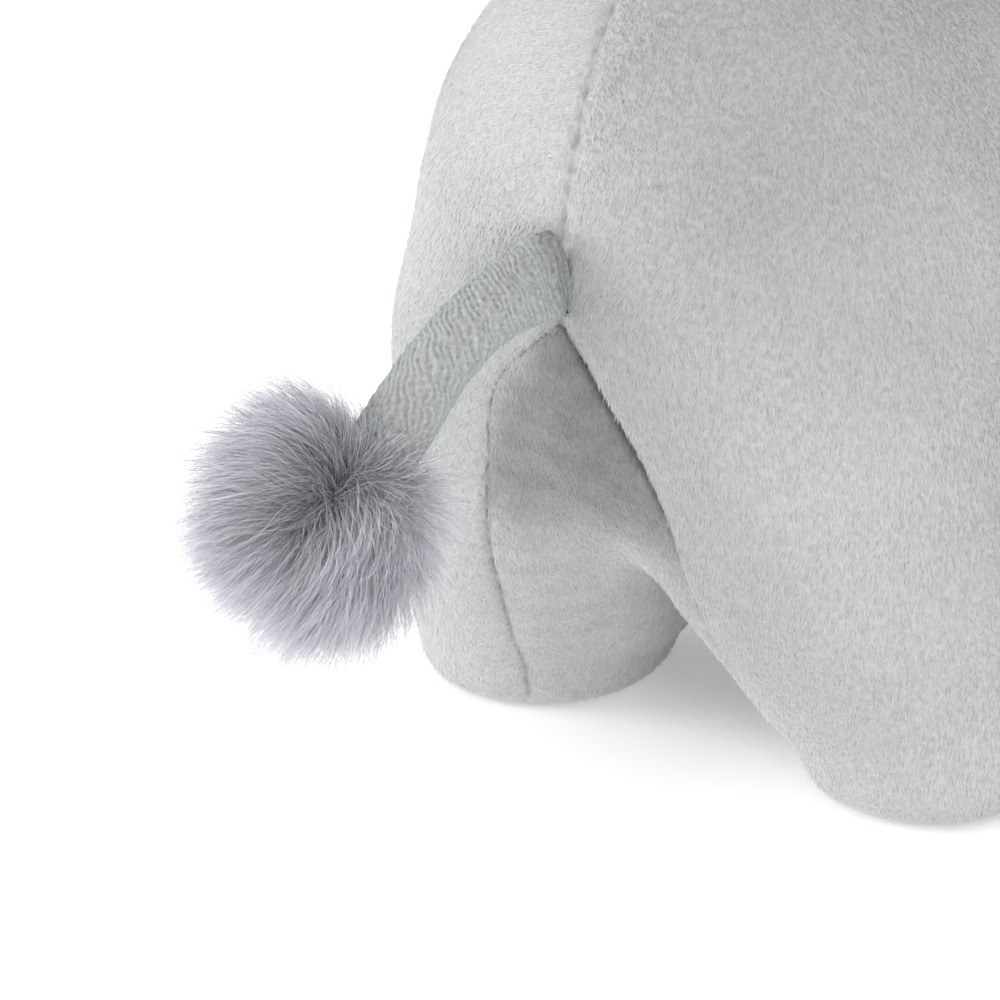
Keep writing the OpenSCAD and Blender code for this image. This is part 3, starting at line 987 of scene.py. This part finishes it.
def sewn_skin():
    """The skin with its seams pulled in, and each point's seam distance, normal and tone."""
    points, tris, labels = skin_mesh()
    away = seam_distance(points, seam_points(tris, labels, [{TRUNK, TIP}]), REACH)
    fold = seam_distance(points, seam_points(tris, np.where(labels == GUSSET, 1, 0)), REACH)
    normal = corner_normals(points, tris)
    x, y, z = points.T
    # rump is 1 under the tail, deep is the same on the right only, and show fades the seam
    # down the right hind leg.
    rump = ease(z, *RUMP_Z) * ease(y, *RUMP_Y)
    deep = rump * ease(-x, -3, 4)
    show = 1 - 0.9 * ease(-x, 2, 8) * ease(y, 40, 60) * (1 - rump) * (fold < REACH)
    ears = touched(tris[(labels >= EAR_BACK_L) & (labels <= EAR_FRONT_R)], len(points))
    gusset_only = ~touched(tris[labels != GUSSET], len(points))
    sink = SEAM_DEPTH * bell(away, SEAM_HALF) * (1 + 0.6 * ripple(points, 3.4, 3))
    sink += TUCK_DEPTH * bell(away, TUCK_HALF)
    sink *= np.where(ears, EAR_SINK, show)
    sink += SOLE_SEAM_DEPTH * bell(z - SOLE_RISE, SOLE_SEAM_HALF)
    sink += FOLD_DEPTH * deep * bell(fold, FOLD_HALF)
    step = STEP_DEPTH * (0.25 * show + 0.75 * deep) * np.exp(-away / STEP_HALF)
    sink += np.where(gusset_only, step, 0)
    fan = points - FAN_AT
    far = np.linalg.norm(fan, axis=1)
    rays = np.sin(PUCKER_RAYS * np.arctan2(fan[:, 2], fan[:, 0]) + 2 * ripple(points, 14, 9))
    sink += PUCKER_DEPTH * rays * np.where(far > PUCKER_FROM,
                                           bell(far - PUCKER_FROM, PUCKER_HALF), 0)
    slack = 0.3 * ripple(points, 34, 4) + 0.07 * ripple(points, 11, 5)
    sink += slack * np.where(ears, EAR_WAVES, 1)
    tone = skin_tone(points, away, fold, gusset_only, rump, deep, show)
    points = points - normal * ((sink + PILE_SINK) * np.clip(z / 5, 0, 1))[:, None]
    return points, tris, labels, away, normal, tone


SEAM_SHADE_DARK = 0.24
SEAM_SHADE_HALF = 0.8
FOLD_SHADE = 0.50
GUSSET_DARK = 0.08
GUSSET_TOP_SHADE = 0.40
# Painted shade over the upper right flank, on the right of the back seam.
SHADE_PATCH_AT = TAIL_ROOT + np.array([-26, -12, 24])
SHADE_PATCH_DARK = 0.17
SHADE_PATCH_HALF = 45
PAINTED_BOUNCE = 0.09
CREASE_SHADE = 0.35
CREASE_TALL = 7
CREASE_REACH = 3.0


def skin_tone(points, away, fold, gusset_only, rump, deep, show):
    """How pale the skin is: painted shade in the seams, in the fold and crease at the tail's root,
    on the gusset's top and on the upper right flank, and painted floor light low on the legs.
    """
    x, _, z = points.T
    # Painted shade in the seam grooves: the skin darkens along every seam, less where show fades
    # the seam and on the upper left under the tail.
    seam_gap = np.maximum(away + 0.25 * ripple(points, 3.0, 6), 0)
    upper_left = rump * ease(x, 3, 8)
    tone = 1.0 - SEAM_SHADE_DARK * bell(seam_gap, SEAM_SHADE_HALF) * show * (1 - 0.7 * upper_left)
    # Painted shade in the fold between the right body panel and the gusset under the tail.
    tone -= FOLD_SHADE * deep * bell(fold, 1.0)
    # The gusset is a little darker all over, where its pile lies the other way, and has painted
    # shade on its top under the tail, fading at its upper left edge.
    edge = 1 - 0.75 * upper_left * np.exp(-fold / 3.5)
    gusset = (GUSSET_DARK + GUSSET_TOP_SHADE * ease(z, 48, 68)) * edge
    tone -= np.where(gusset_only, gusset, 0)
    # Painted shade over the upper right flank.
    shadow = np.linalg.norm(points - SHADE_PATCH_AT, axis=1)
    tone -= SHADE_PATCH_DARK * bell(shadow, SHADE_PATCH_HALF) * ease(-x, -2, 6)
    # Painted light from the white floor's bounce: paler low on the legs.
    tone += PAINTED_BOUNCE * (1 - ease(z, 8, 42))
    # Painted shade in the crease where the tail's root goes into the body.
    crease = points - TAIL_ROOT
    crease[:, 2] = np.maximum(np.abs(crease[:, 2]) - CREASE_TALL, 0)
    tone -= CREASE_SHADE * np.exp(-((crease ** 2).sum(1) / CREASE_REACH ** 2))
    tone += 0.025 * ripple(points, 46, 24)
    tone += np.where(gusset_only, 0.035 * ripple(points, 7, 26), 0)
    return np.clip(tone, 0.25, 1.1)


def cloth_of(node):
    if node == "belly_gusset":
        return "gusset_plush"
    return "lining_plush" if node.startswith(("ear_front", "sole")) else "body_plush"


def attach(piece, node):
    """Bakes the place of a trunk cover or ear piece, and its pile, into its mesh; any other piece
    rides the root body.
    """
    if node == "trunk_base_cover":
        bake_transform(piece)
    elif node == "trunk_tip_cover":
        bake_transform(piece)
    elif node.startswith("ear"):
        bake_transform(piece)
    else:
        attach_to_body(piece, "root")


def nap(label):
    """The way a panel's pile lies: down, off the back seam, and out from under the tail."""
    def lay(points, normal):
        way = np.zeros_like(points)
        way[:, 2] = -1
        x = points[:, 0]
        if label in (BODY_L, BODY_R):
            way[:, 0] += np.where(x > 0, 1.7 * bell(x, 34), -0.75 * bell(x, 7))
        fan = points - FAN_AT
        far = np.linalg.norm(fan, axis=1)
        turn = -np.tanh(fan[:, 2] / 5) * bell(far, 27) * 2.0
        way += fan / far[:, None] * turn[:, None]
        way[:, 0] += 0.18 * ripple(points, 40, 12)
        way[:, 1] += 0.18 * ripple(points, 40, 11)
        return unit(in_surface(way, normal))
    return lay


PILE_LEN = 1.8
PILE_LEAN = math.radians(24)
PILE_WIDE = 0.46
PILE_ROOT = 0.25
PILE_STRAY = 0.17
PILE_LEAN_STRAY = 0.09
PILE_TONE_STRAY = 0.06
PILE_DENSITY = 2.1
PILE_LIMIT = 64000
SEAM_BARE = 0.3
FLOOR_BARE = 0.8
SPIKE_FLAT = 0.6
SPIKE_ROUND = 0.4
# The corners of a fibre's three-sided section.
CORNERS = [(math.cos(2 * math.pi * k / 3), math.sin(2 * math.pi * k / 3)) for k in range(3)]


def scatter(points, tris, density):
    """Evenly spread places on triangles: the triangle of each, and its corner weights."""
    a, b, c = (points[tris[:, k]] for k in range(3))
    area = np.linalg.norm(np.cross(b - a, c - a), axis=1) / 2
    total = int((area * density).sum())
    share = np.cumsum(area * density)
    even = (np.arange(total) + rng.uniform(0.1, 0.9, total)) / total
    pick = np.minimum(np.searchsorted(share, even * share[-1]), len(tris) - 1)
    r1, r2 = np.sqrt(rng.uniform(size=total)), rng.uniform(size=total)
    return pick, np.stack([1 - r1, r1 * (1 - r2), r1 * r2], 1)


def spikes(base, direction, side, length, width):
    """Three-sided tapered fibres: points, triangles, how far up each point is, and roundness."""
    other = np.cross(direction, side)
    ring, round_off = [], []
    for cos, sin in CORNERS:
        off = side * cos + other * (sin * SPIKE_FLAT)
        ring.append(base + off * (width / 2)[:, None])
        round_off.append(off * SPIKE_ROUND)
    points = np.stack(ring + [base + direction * length[:, None]], 1).reshape(-1, 3)
    round_off = np.stack(round_off + [0 * side], 1).reshape(-1, 3)
    one = np.array([(0, 1, 3), (1, 2, 3), (2, 0, 3)])
    tris = (one[None] + 4 * np.arange(len(base))[:, None, None]).reshape(-1, 3)
    return points, tris, np.tile(np.array([0, 0, 0, 1.0]), len(base)), round_off


def pile(name, points, tris, skin, lay, size, mat, bare=SEAM_BARE):
    """Short fibres over one panel, bare along its seams, in pieces that stay small enough."""
    away, smooth, normal, tone = skin
    pick, weight = scatter(points, tris, PILE_DENSITY / size)
    corner = tris[pick]
    gap = (away[corner] * weight).sum(1)
    at = (points[corner] * weight[..., None]).sum(1)
    keep = (gap > bare) & (at[:, 2] > FLOOR_BARE)
    corner, weight, at = corner[keep], weight[keep], at[keep]
    up = unit((smooth[corner] * weight[..., None]).sum(1))
    rise = unit(up + 1.5 * (normal[corner] * weight[..., None]).sum(1))
    lie = lay(at, rise)
    side = np.cross(rise, lie)
    n = len(at)
    turn = rng.normal(0, PILE_STRAY, n) + 0.12 * ripple(at, 9, 23)
    lie = unit(lie * np.cos(turn)[:, None] + side * np.sin(turn)[:, None])
    lean = np.clip(PILE_LEAN + rng.normal(0, PILE_LEAN_STRAY, n), 0.22, 1.2)
    direction = lie * np.cos(lean)[:, None] + rise * np.sin(lean)[:, None]
    side = np.cross(rise, lie)
    length = PILE_LEN * size * rng.uniform(0.7, 1.15, n)
    width = PILE_WIDE * size * rng.uniform(0.7, 1.3, n)
    p, t, height, round_off = spikes(at - rise * PILE_ROOT, direction, side, length, width)
    own = (tone[corner] * weight).sum(1)
    own = own * (1 + rng.normal(0, PILE_TONE_STRAY, n) + 0.03 * ripple(at, 2.6, 25))
    uv = np.stack([np.repeat(tone_uv(own), 4), height * 0.96 + 0.02], 1)
    normals = unit(np.repeat(unit(up + 0.6 * rise), 4, 0) + round_off)
    made = []
    for k, start in enumerate(range(0, n, PILE_LIMIT)):
        stop = min(start + PILE_LIMIT, n)
        part = slice(start * 4, stop * 4)
        piece = new_mesh(f"{name}_{k + 1}", p[part], t[start * 3:stop * 3] - start * 4,
                         normals[part], uv[part])
        piece.data.materials.append(mat)
        made.append(piece)
    return made


SKIN_THICK = 1.0
EAR_PILE = 0.7
EAR_BARE = 1.3


def add_skin():
    points, tris, labels, away, smooth, tone = sewn_skin()
    normal = corner_normals(points, tris)
    slots = ("body_plush", "gusset_plush", "lining_plush")
    looks = {slot: plush_mat(slot + "_look", shade(PLUSH, SKIN_SHADE)) for slot in slots}
    # Each fibre runs from darker at its root to paler at its tip: painted shade down between the
    # fibres and painted light on their tips.
    fibres = {slot: fibre_mat(slot + "_pile_look", shade(PLUSH, 0.84), shade(PLUSH, 1.08), 0.3)
              for slot in slots}
    skin = (away, smooth, normal, tone)
    for label, node in enumerate(PANELS):
        slot = cloth_of(node)
        mine = tris[labels == label]
        p, t, ways, source = shell(points, mine, normal, SKIN_THICK)
        piece = new_mesh(node + "_skin", p, t, ways, None, tone[source])
        piece.data.materials.append(looks[slot])
        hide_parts(node)
        attach(piece, node)
        if node.startswith("sole"):
            continue
        size, bare = (EAR_PILE, EAR_BARE) if node.startswith("ear") else (1.0, SEAM_BARE)
        for part in pile(node + "_pile", points, mine, skin, nap(label), size, fibres[slot], bare):
            attach(part, node)


# ---------------------------------------------------------------- what is inside
INSET = 6.5
TIP_INSET = 4.8
TIP_DROP = 7
TIP_HOLLOW = 11.7
TRUNK_CORE_FROM = 12
TRUNK_CORE_RADII = (14.5, 11.2)
CORE_GAP = 0.5
LEG_GAP = 0.6
WADDING_HALF = 1.1
WADDING_IN = (8, 7)
FILL_CELL = 3.6
BAG_INSET = 4
BAG_EDGE = 2


def core(p):
    return barrel(mirrored(p)) + INSET


def head_core(p):
    return smooth_max(head(mirrored(p)) + INSET, CORE_GAP - core(p), 2)


def leg_core(parts, bag_top, side):
    """The filling of one leg, between the body's filling and the bag in the foot."""
    def inside(p):
        d = smooth_max(leg(mirrored(p), parts) + INSET, CORE_GAP - core(p), 2)
        return smooth_max(smooth_max(d, bag_top + 1 - p[..., 2], 2), LEG_GAP - side * p[..., 0], 2)
    return inside


def trunk_base_core(p):
    return rod(p, TRUNK_ROOT + TRUNK_AHEAD * TRUNK_CORE_FROM, TRUNK_CURL, *TRUNK_CORE_RADII)


def trunk_tip_core(p):
    """Hollowed at its top, so that it turns on the round end of the filling above."""
    total = smooth_max(trunk(p) + TIP_INSET, tip_side(p) + TIP_DROP, 2)
    return smooth_max(total, TIP_HOLLOW - np.linalg.norm(p - TRUNK_CURL, axis=-1), 1)


def wadding(side):
    """A thin flat pad inside one ear."""
    half_wide = EAR_WIDTH / 2 - WADDING_IN[0]
    half_tall = EAR_HEIGHT / 2 - WADDING_IN[1]

    def inside(p):
        u, v, n = ear_coords(p * np.array([side, 1, 1]))
        r = np.hypot((u - EAR_WIDTH / 2 - 1) / half_wide, (v + EAR_DROP) / half_tall)
        return smooth_max((r - 1) * 20, np.abs(n) - WADDING_HALF, 0.6)
    return inside


def bag(name):
    """A pillow that fills the box of a pellet bag."""
    lo, hi = node_box(name)
    centre, half = (lo + hi) / 2, (hi - lo) / 2 - np.array([BAG_INSET, BAG_INSET, 0])

    def inside(p):
        q = (p - centre) / half
        r = (np.abs(q[..., 0]) ** 3 + np.abs(q[..., 1]) ** 3) ** (1 / 3)
        rise = np.abs(p[..., 2] - centre[2]) - half[2] * crown(r, 1.01, 0.02)
        return smooth_max((r - 1) * half[0], rise, BAG_EDGE)
    return inside


def add_solid(name, f, cell, mat, body, margin=2.0, lumps=0.0):
    """Makes the form where f is below zero, to stand for the CAD node of this name.

    It rides a body; where body names a trunk cover, its place is baked into its mesh instead.
    """
    lo, hi = node_box(name)
    points, quads = surface_net(f, lo - margin, hi + margin, cell)
    points = settle(f, relax(settle(f, points, 1), quads, 0.5), 1)
    normal = corner_normals(points, halved(quads))
    points = points - normal * (lumps * (1 + ripple(points, 16, 8)))[:, None]
    piece = new_mesh(name + "_form", points, quads)
    piece.data.materials.append(mat)
    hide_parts(name)
    if body.endswith("cover"):
        attach(piece, body)
    else:
        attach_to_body(piece, body)
    return piece


def add_inside():
    fibre = flock_mat("stuffing_look", (0.72, 0.71, 0.68), 160)
    cloth = weave_mat("bag_cloth_look", (0.62, 0.6, 0.55), 0.0006)
    solids = [("body_stuffing", core, "root"), ("head_stuffing", head_core, "root"),
              ("trunk_base_stuffing", trunk_base_core, "trunk_base_cover"),
              ("trunk_tip_stuffing", trunk_tip_core, "trunk_tip_cover")]
    for which, parts in zip(("hind", "fore"), LEGS):
        for side, word in SIDES:
            top = node_box(f"pellet_bag_{which}_{word}")[1][2]
            solids.append((f"leg_stuffing_{which}_{word}", leg_core(parts, top, side), "root"))
    for name, f, body in solids:
        add_solid(name, f, FILL_CELL, fibre, body, 6, 0.3)
    for side, word in SIDES:
        pad = add_solid(f"ear_wadding_{word}", wadding(side), 1.0, fibre,
                        f"ear_{word}")
    for which in ("hind", "fore"):
        for _, word in SIDES:
            name = f"pellet_bag_{which}_{word}"
            add_solid(name, bag(name), 1.6, cloth, "root")


def add_hard_parts():
    """Materials for the CAD nodes whose shape is kept."""
    looks = {
        "eye": plastic_mat("eye_look", (0.012, 0.011, 0.012), 0.12, 0.6),
        "washer": plastic_mat("washer_look", (0.5, 0.5, 0.48), 0.5, 0.0),
        "thread": weave_mat("thread_look", (0.32, 0.33, 0.32), 0.0004),
    }
    kept = {"eye_left": "eye", "eye_right": "eye", "eye_washer_left": "washer",
            "eye_washer_right": "washer", "tail_knot": "thread", "tail_tab": "thread"}
    for name, look in kept.items():
        for slot in bpy.data.objects[name].material_slots:
            slot.material = looks[look]


# ---------------------------------------------------------------- tail and tuft
TAIL_YAW = math.atan2(TAIL_BEND[0] - TAIL_ROOT[0], TAIL_BEND[1] - TAIL_ROOT[1])
TAIL_OUT = np.array([math.sin(TAIL_YAW), math.cos(TAIL_YAW), 0])
TAIL_SIDE = np.array([math.cos(TAIL_YAW), -math.sin(TAIL_YAW), 0])
# The tail's middle line: how far out from its root, and how far up.
TAIL_LINE = [(-4.6, 1.2), (0, 0), (12.0, -5.4), (21.5, -13.8), (30.0, -25.2), (37.0, -35.0)]
TAIL_R = 6.5
TAIL_INSIDE = 4.8
ROW_PITCH = 1.15
ROW_DEEP = 0.2
ROW_WOBBLE = 0.35
DOT_PITCH = 1.3
SLANT_MOST = 1.3
ROOT_SQUEEZE = 0.74
ROOT_SHADE = 0.34
TAIL_STEP = 0.24


def tail_skin():
    """The tail as one fine tube with its knitted rows, from inside the rump to inside the tuft."""
    _, reach = smooth_line(TAIL_LINE, 2)
    rings = int(reach[-1] / TAIL_STEP)
    line, s = smooth_line(TAIL_LINE, rings)
    s = s - TAIL_INSIDE
    centre = TAIL_ROOT + line[:, :1] * TAIL_OUT + line[:, 1:] * np.array([0, 0, 1])
    ahead = unit(np.gradient(centre, axis=0))
    up = unit(np.cross(TAIL_SIDE, ahead))
    up *= np.sign(up[:, 2:])
    around = int(2 * math.pi * TAIL_R / TAIL_STEP)
    angle = np.linspace(0, 2 * math.pi, around, endpoint=False)
    ring_angle, along = np.meshgrid(angle, s)
    squeeze = ROOT_SQUEEZE * bell(np.maximum(along + 3, 0), 7.5)
    radius = TAIL_R * (1 + 0.10 * bell(along, 9) + 0.08 * np.clip((along - 26) / 12, 0, 1))
    arc = (ring_angle - math.pi) * TAIL_R
    slant = np.clip((along - 6) / 40, 0, 1) * SLANT_MOST
    at = np.stack([along.ravel(), arc.ravel(), (arc * 0.3).ravel()], 1)
    wobble = ripple(at, 6, 31).reshape(arc.shape)
    broken = ripple(at * np.array([1, 1, 0]), 2.6, 32).reshape(arc.shape)
    phase = (along - arc * slant) / (ROW_PITCH * np.sqrt(1 + slant ** 2)) + ROW_WOBBLE * wobble
    dots = np.sin(2 * math.pi * arc / (ROW_PITCH * DOT_PITCH) + 2.5 * broken)
    relief = ROW_DEEP * np.sin(2 * math.pi * phase) * (0.65 + 0.35 * dots + 0.3 * broken)
    relief += 0.07 * ripple(at, 1.4, 33).reshape(arc.shape)
    tuck = 1 - 0.3 * ease(-along, 2.2, TAIL_INSIDE)
    wide = (radius * (1 - squeeze) + relief) * tuck
    tall = (radius * (1 + squeeze * 0.35) + relief) * tuck
    # Painted shade in the hollows between the knitted rows, painted light on their ridges, and
    # painted shade where the root goes into the body.
    tone = 0.97 + 0.8 * relief - ROOT_SHADE * bell(np.maximum(along + 3.0, 0), 2.4)
    points = (centre[:, None] + (np.cos(ring_angle) * wide)[..., None] * TAIL_SIDE
              + (np.sin(ring_angle) * tall)[..., None] * up[:, None]).reshape(-1, 3)
    i, j = np.meshgrid(np.arange(rings - 1), np.arange(around), indexing="ij")
    k = (j + 1) % around
    quads = np.stack([i * around + j, i * around + k, (i + 1) * around + k,
                      (i + 1) * around + j], -1).reshape(-1, 4)
    tris = np.concatenate([quads[:, [2, 1, 0]], quads[:, [3, 2, 0]]])
    return points, tris, np.tile(np.repeat(s[:-1], around), 2), centre, s, tone.ravel()


def on_line(where, s, centre):
    """The point this far along the tail's middle line."""
    return np.array([np.interp(where, s, centre[:, k]) for k in range(3)])


TAIL_THICK = 0.8
TAIL_PILE = 0.52
TAIL_INSET = 1.9


def add_tail():
    points, tris, s, centre, rings_s, tone = tail_skin()
    normal = corner_normals(points, tris)
    mat = plush_mat("tail_plush_look", TAIL_PLUSH, 0.35, (1300, 1300, 1300))
    out = (centre - TAIL_ROOT) @ TAIL_OUT
    bend_s = np.interp(TAIL_BEND @ TAIL_OUT - TAIL_ROOT @ TAIL_OUT, out, rings_s)
    split = bend_s - 6
    lower_ends = (on_line(split, rings_s, centre), on_line(bend_s + 8, rings_s, centre))
    ahead = unit(np.gradient(centre, axis=0))
    skin = (np.full(len(points), REACH), normal, normal, tone)
    # Each fibre runs from darker at its root to paler at its tip: painted shade down between the
    # fibres and painted light on their tips.
    fibre = fibre_mat("tail_pile_look", shade(TAIL_PLUSH, 0.9), shade(TAIL_PLUSH, 1.2), 0.7)

    def lay(p, n):
        along = np.stack([np.interp((p - TAIL_ROOT) @ TAIL_OUT, out, ahead[:, k])
                          for k in range(3)], 1)
        return unit(in_surface(along + 0.45 * np.cross(n, along), n))

    for name, part, bodies, ends in (
            ("tail_upper_cover", s < split, ("tail_root", "tail_upper"),
             (TAIL_ROOT, TAIL_ROOT + TAIL_OUT * 9)),
            ("tail_lower_cover", s >= split, ("tail_upper", "tail_lower"), lower_ends)):
        p, t, ways, source = shell(points, tris[part], normal, TAIL_THICK)
        piece = new_mesh(name + "_skin", p, t, ways, None, np.clip(tone[source], 0.3, 1.2))
        piece.data.materials.append(mat)
        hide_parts(name)
        for one in [piece, *pile(name + "_pile", points, tris[part], skin, lay, TAIL_PILE, fibre)]:
            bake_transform(one)
    add_tail_filling(centre, rings_s, bend_s)


def add_tail_filling(centre, s, bend_s):
    """Filling in two parts that turn on each other, and the ball of pelt under the long hair."""
    full = TAIL_R - TAIL_INSET
    start, neck, bend, low = (on_line(where, s, centre) for where in (4, 10, bend_s, 30))

    def upper(p):
        d = smooth_min(rod(p, start, neck, 2.0, full), rod(p, neck, bend, full, full), 2)
        return smooth_max(d, full + 0.4 - np.linalg.norm(p - bend, axis=-1), 0.5)

    def lower(p):
        return smooth_min(rod(p, bend, low, full, full), rod(p, low, TUFT_AT, full, full), 2)

    fibre = bpy.data.materials["stuffing_look"]
    for name, f, body in (("tail_upper_filling", upper, "tail_upper"),
                          ("tail_lower_filling", lower, "tail_lower")):
        add_solid(name, f, 1.2, fibre, body, 4, 0.1)
    pelt = flock_mat("pelt_look", FUR_ROOT, 400)
    add_solid("tuft_core", lambda p: np.linalg.norm(p - TUFT_CENTRE, axis=-1) - PELT_R, 1.2,
              pelt, "tail_lower", 3, 0.15)


TAIL_DIR = unit(TUFT_AT - TAIL_BEND)
TUFT_CENTRE = TUFT_AT - TAIL_DIR * 2.8
PELT_R = 8.5
HAIR_PIECES = 5
HAIR_EACH = 7400
HAIR_LEVELS = 5
HAIR_WIDE = 0.15
TUFT_CLUMPS = 300
CLUMP_SPREAD = 0.16
CLUMP_WAVE = 1.15
CLUMP_CURL = 0.6
TUFT_TALL = np.array([1.0, 1.0, 1.09])
# The way all the hair has been brushed.
TUFT_COMB = np.array([0.80, 0.55, 0.05])
# The hair parts along the arc between these two ways out of the core, and lies away from it.
PART_FROM = np.array([-0.487, 0.781, 0.394])
PART_TO = np.array([-0.635, 0.243, 0.734])
PART_STEPS = 7


def hair_lines(n):
    """Strands that leave the core in clumps, part and droop: their points by level, and tone."""
    clump = unit(rng.normal(size=(TUFT_CLUMPS * 2, 3)))
    clump = clump[clump @ TAIL_DIR > -0.93][:TUFT_CLUMPS]
    count = len(clump)
    clump_long = rng.uniform(0.76, 1.15, count)
    clump_tone = rng.uniform(0.72, 1.06, count)
    which = rng.integers(0, count, n)
    spread = rng.normal(0, CLUMP_SPREAD, (n, 3))
    arc = unit(PART_FROM + (PART_TO - PART_FROM) * np.linspace(0, 1, PART_STEPS)[:, None])
    closest = arc[(clump @ arc.T).argmax(1)]
    level = (clump * closest).sum(1)
    near = np.exp(-(1 - level) / 0.10)[which]
    aside = unit(clump - level[:, None] * closest)[which]
    root_r = PELT_R * rng.uniform(0.85, 1.1, n)
    tip_r = TUFT_R * 1.13 * clump_long[which] * rng.uniform(0.66, 1.10, n) * (1 - 0.28 * near)
    tip_r *= 1 - 0.28 * ease(-(clump @ TAIL_DIR), 0.80, 0.95)[which]
    side = unit(rng.normal(size=(n, 3)))
    wave = rng.normal(0, 0.5, (n, 3)) + rng.normal(0, CLUMP_WAVE, (count, 3))[which]
    curl = rng.normal(0, 0.35, (n, 3)) + rng.normal(0, CLUMP_CURL, (count, 3))[which]
    rows = []
    for level in range(HAIR_LEVELS + 1):
        t = level / HAIR_LEVELS
        flow = clump[which] + spread * (1 - 0.45 * t) + TAIL_DIR * (0.02 + 0.20 * t)
        flow += aside * (near * (0.1 + 0.6 * t))[:, None] + TUFT_COMB * (0.27 * t ** 1.5)
        r = root_r + (tip_r - root_r) * t ** 0.9
        at = TUFT_CENTRE + unit(flow) * TUFT_TALL * r[:, None] + wave * math.sin(3 * t)
        at += curl * math.sin(6.5 * t)
        at[:, 2] -= 1.6 * t ** 2
        rows.append(at)
    tone = (clump_tone[which] + rng.normal(0, 0.09, n)) * (1 - 0.25 * near)
    return rows, side, tone


def hair_bundle(n):
    """Long tapered strands: points, triangles and their places on the map."""
    rows, side, tone = hair_lines(n)
    points = []
    for level in range(HAIR_LEVELS):
        t = level / HAIR_LEVELS
        ahead = unit(rows[level + 1] - rows[level])
        a = unit(np.cross(ahead, side))
        b = np.cross(ahead, a)
        w = HAIR_WIDE * (1 - 0.7 * t) / 2
        points += [rows[level] + (a * cos + b * sin) * w for cos, sin in CORNERS]
    points.append(rows[-1])
    per = len(points)
    points = np.stack(points, 1).reshape(-1, 3)
    strand = []
    for k in range((HAIR_LEVELS - 1) * 3):
        j = k - k % 3 + (k + 1) % 3
        strand += [(k, j, j + 3), (k, j + 3, k + 3)]
    last = (HAIR_LEVELS - 1) * 3
    strand += [(last + k, last + (k + 1) % 3, per - 1) for k in range(3)]
    tris = (np.array(strand)[None] + per * np.arange(n)[:, None, None]).reshape(-1, 3)
    height = np.append(np.repeat(np.arange(HAIR_LEVELS) / HAIR_LEVELS, 3), 1) * 0.96 + 0.02
    uv = np.stack([np.repeat(tone_uv(tone), per), np.tile(height, n)], 1)
    return points, tris, uv


def add_tuft():
    mat = fibre_mat("tuft_fur_look", FUR_ROOT, FUR_TIP, 0.2)
    for k in range(HAIR_PIECES):
        points, tris, uv = hair_bundle(HAIR_EACH)
        piece = new_mesh(f"tuft_fur_{k + 1}", points, tris, None, uv)
        piece.data.materials.append(mat)
        if k == 0:
            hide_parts("tail_tuft")
        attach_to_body(piece, "tail_lower")


add_camera()
add_studio()
add_skin()
add_inside()
add_hard_parts()
add_tail()
add_tuft()
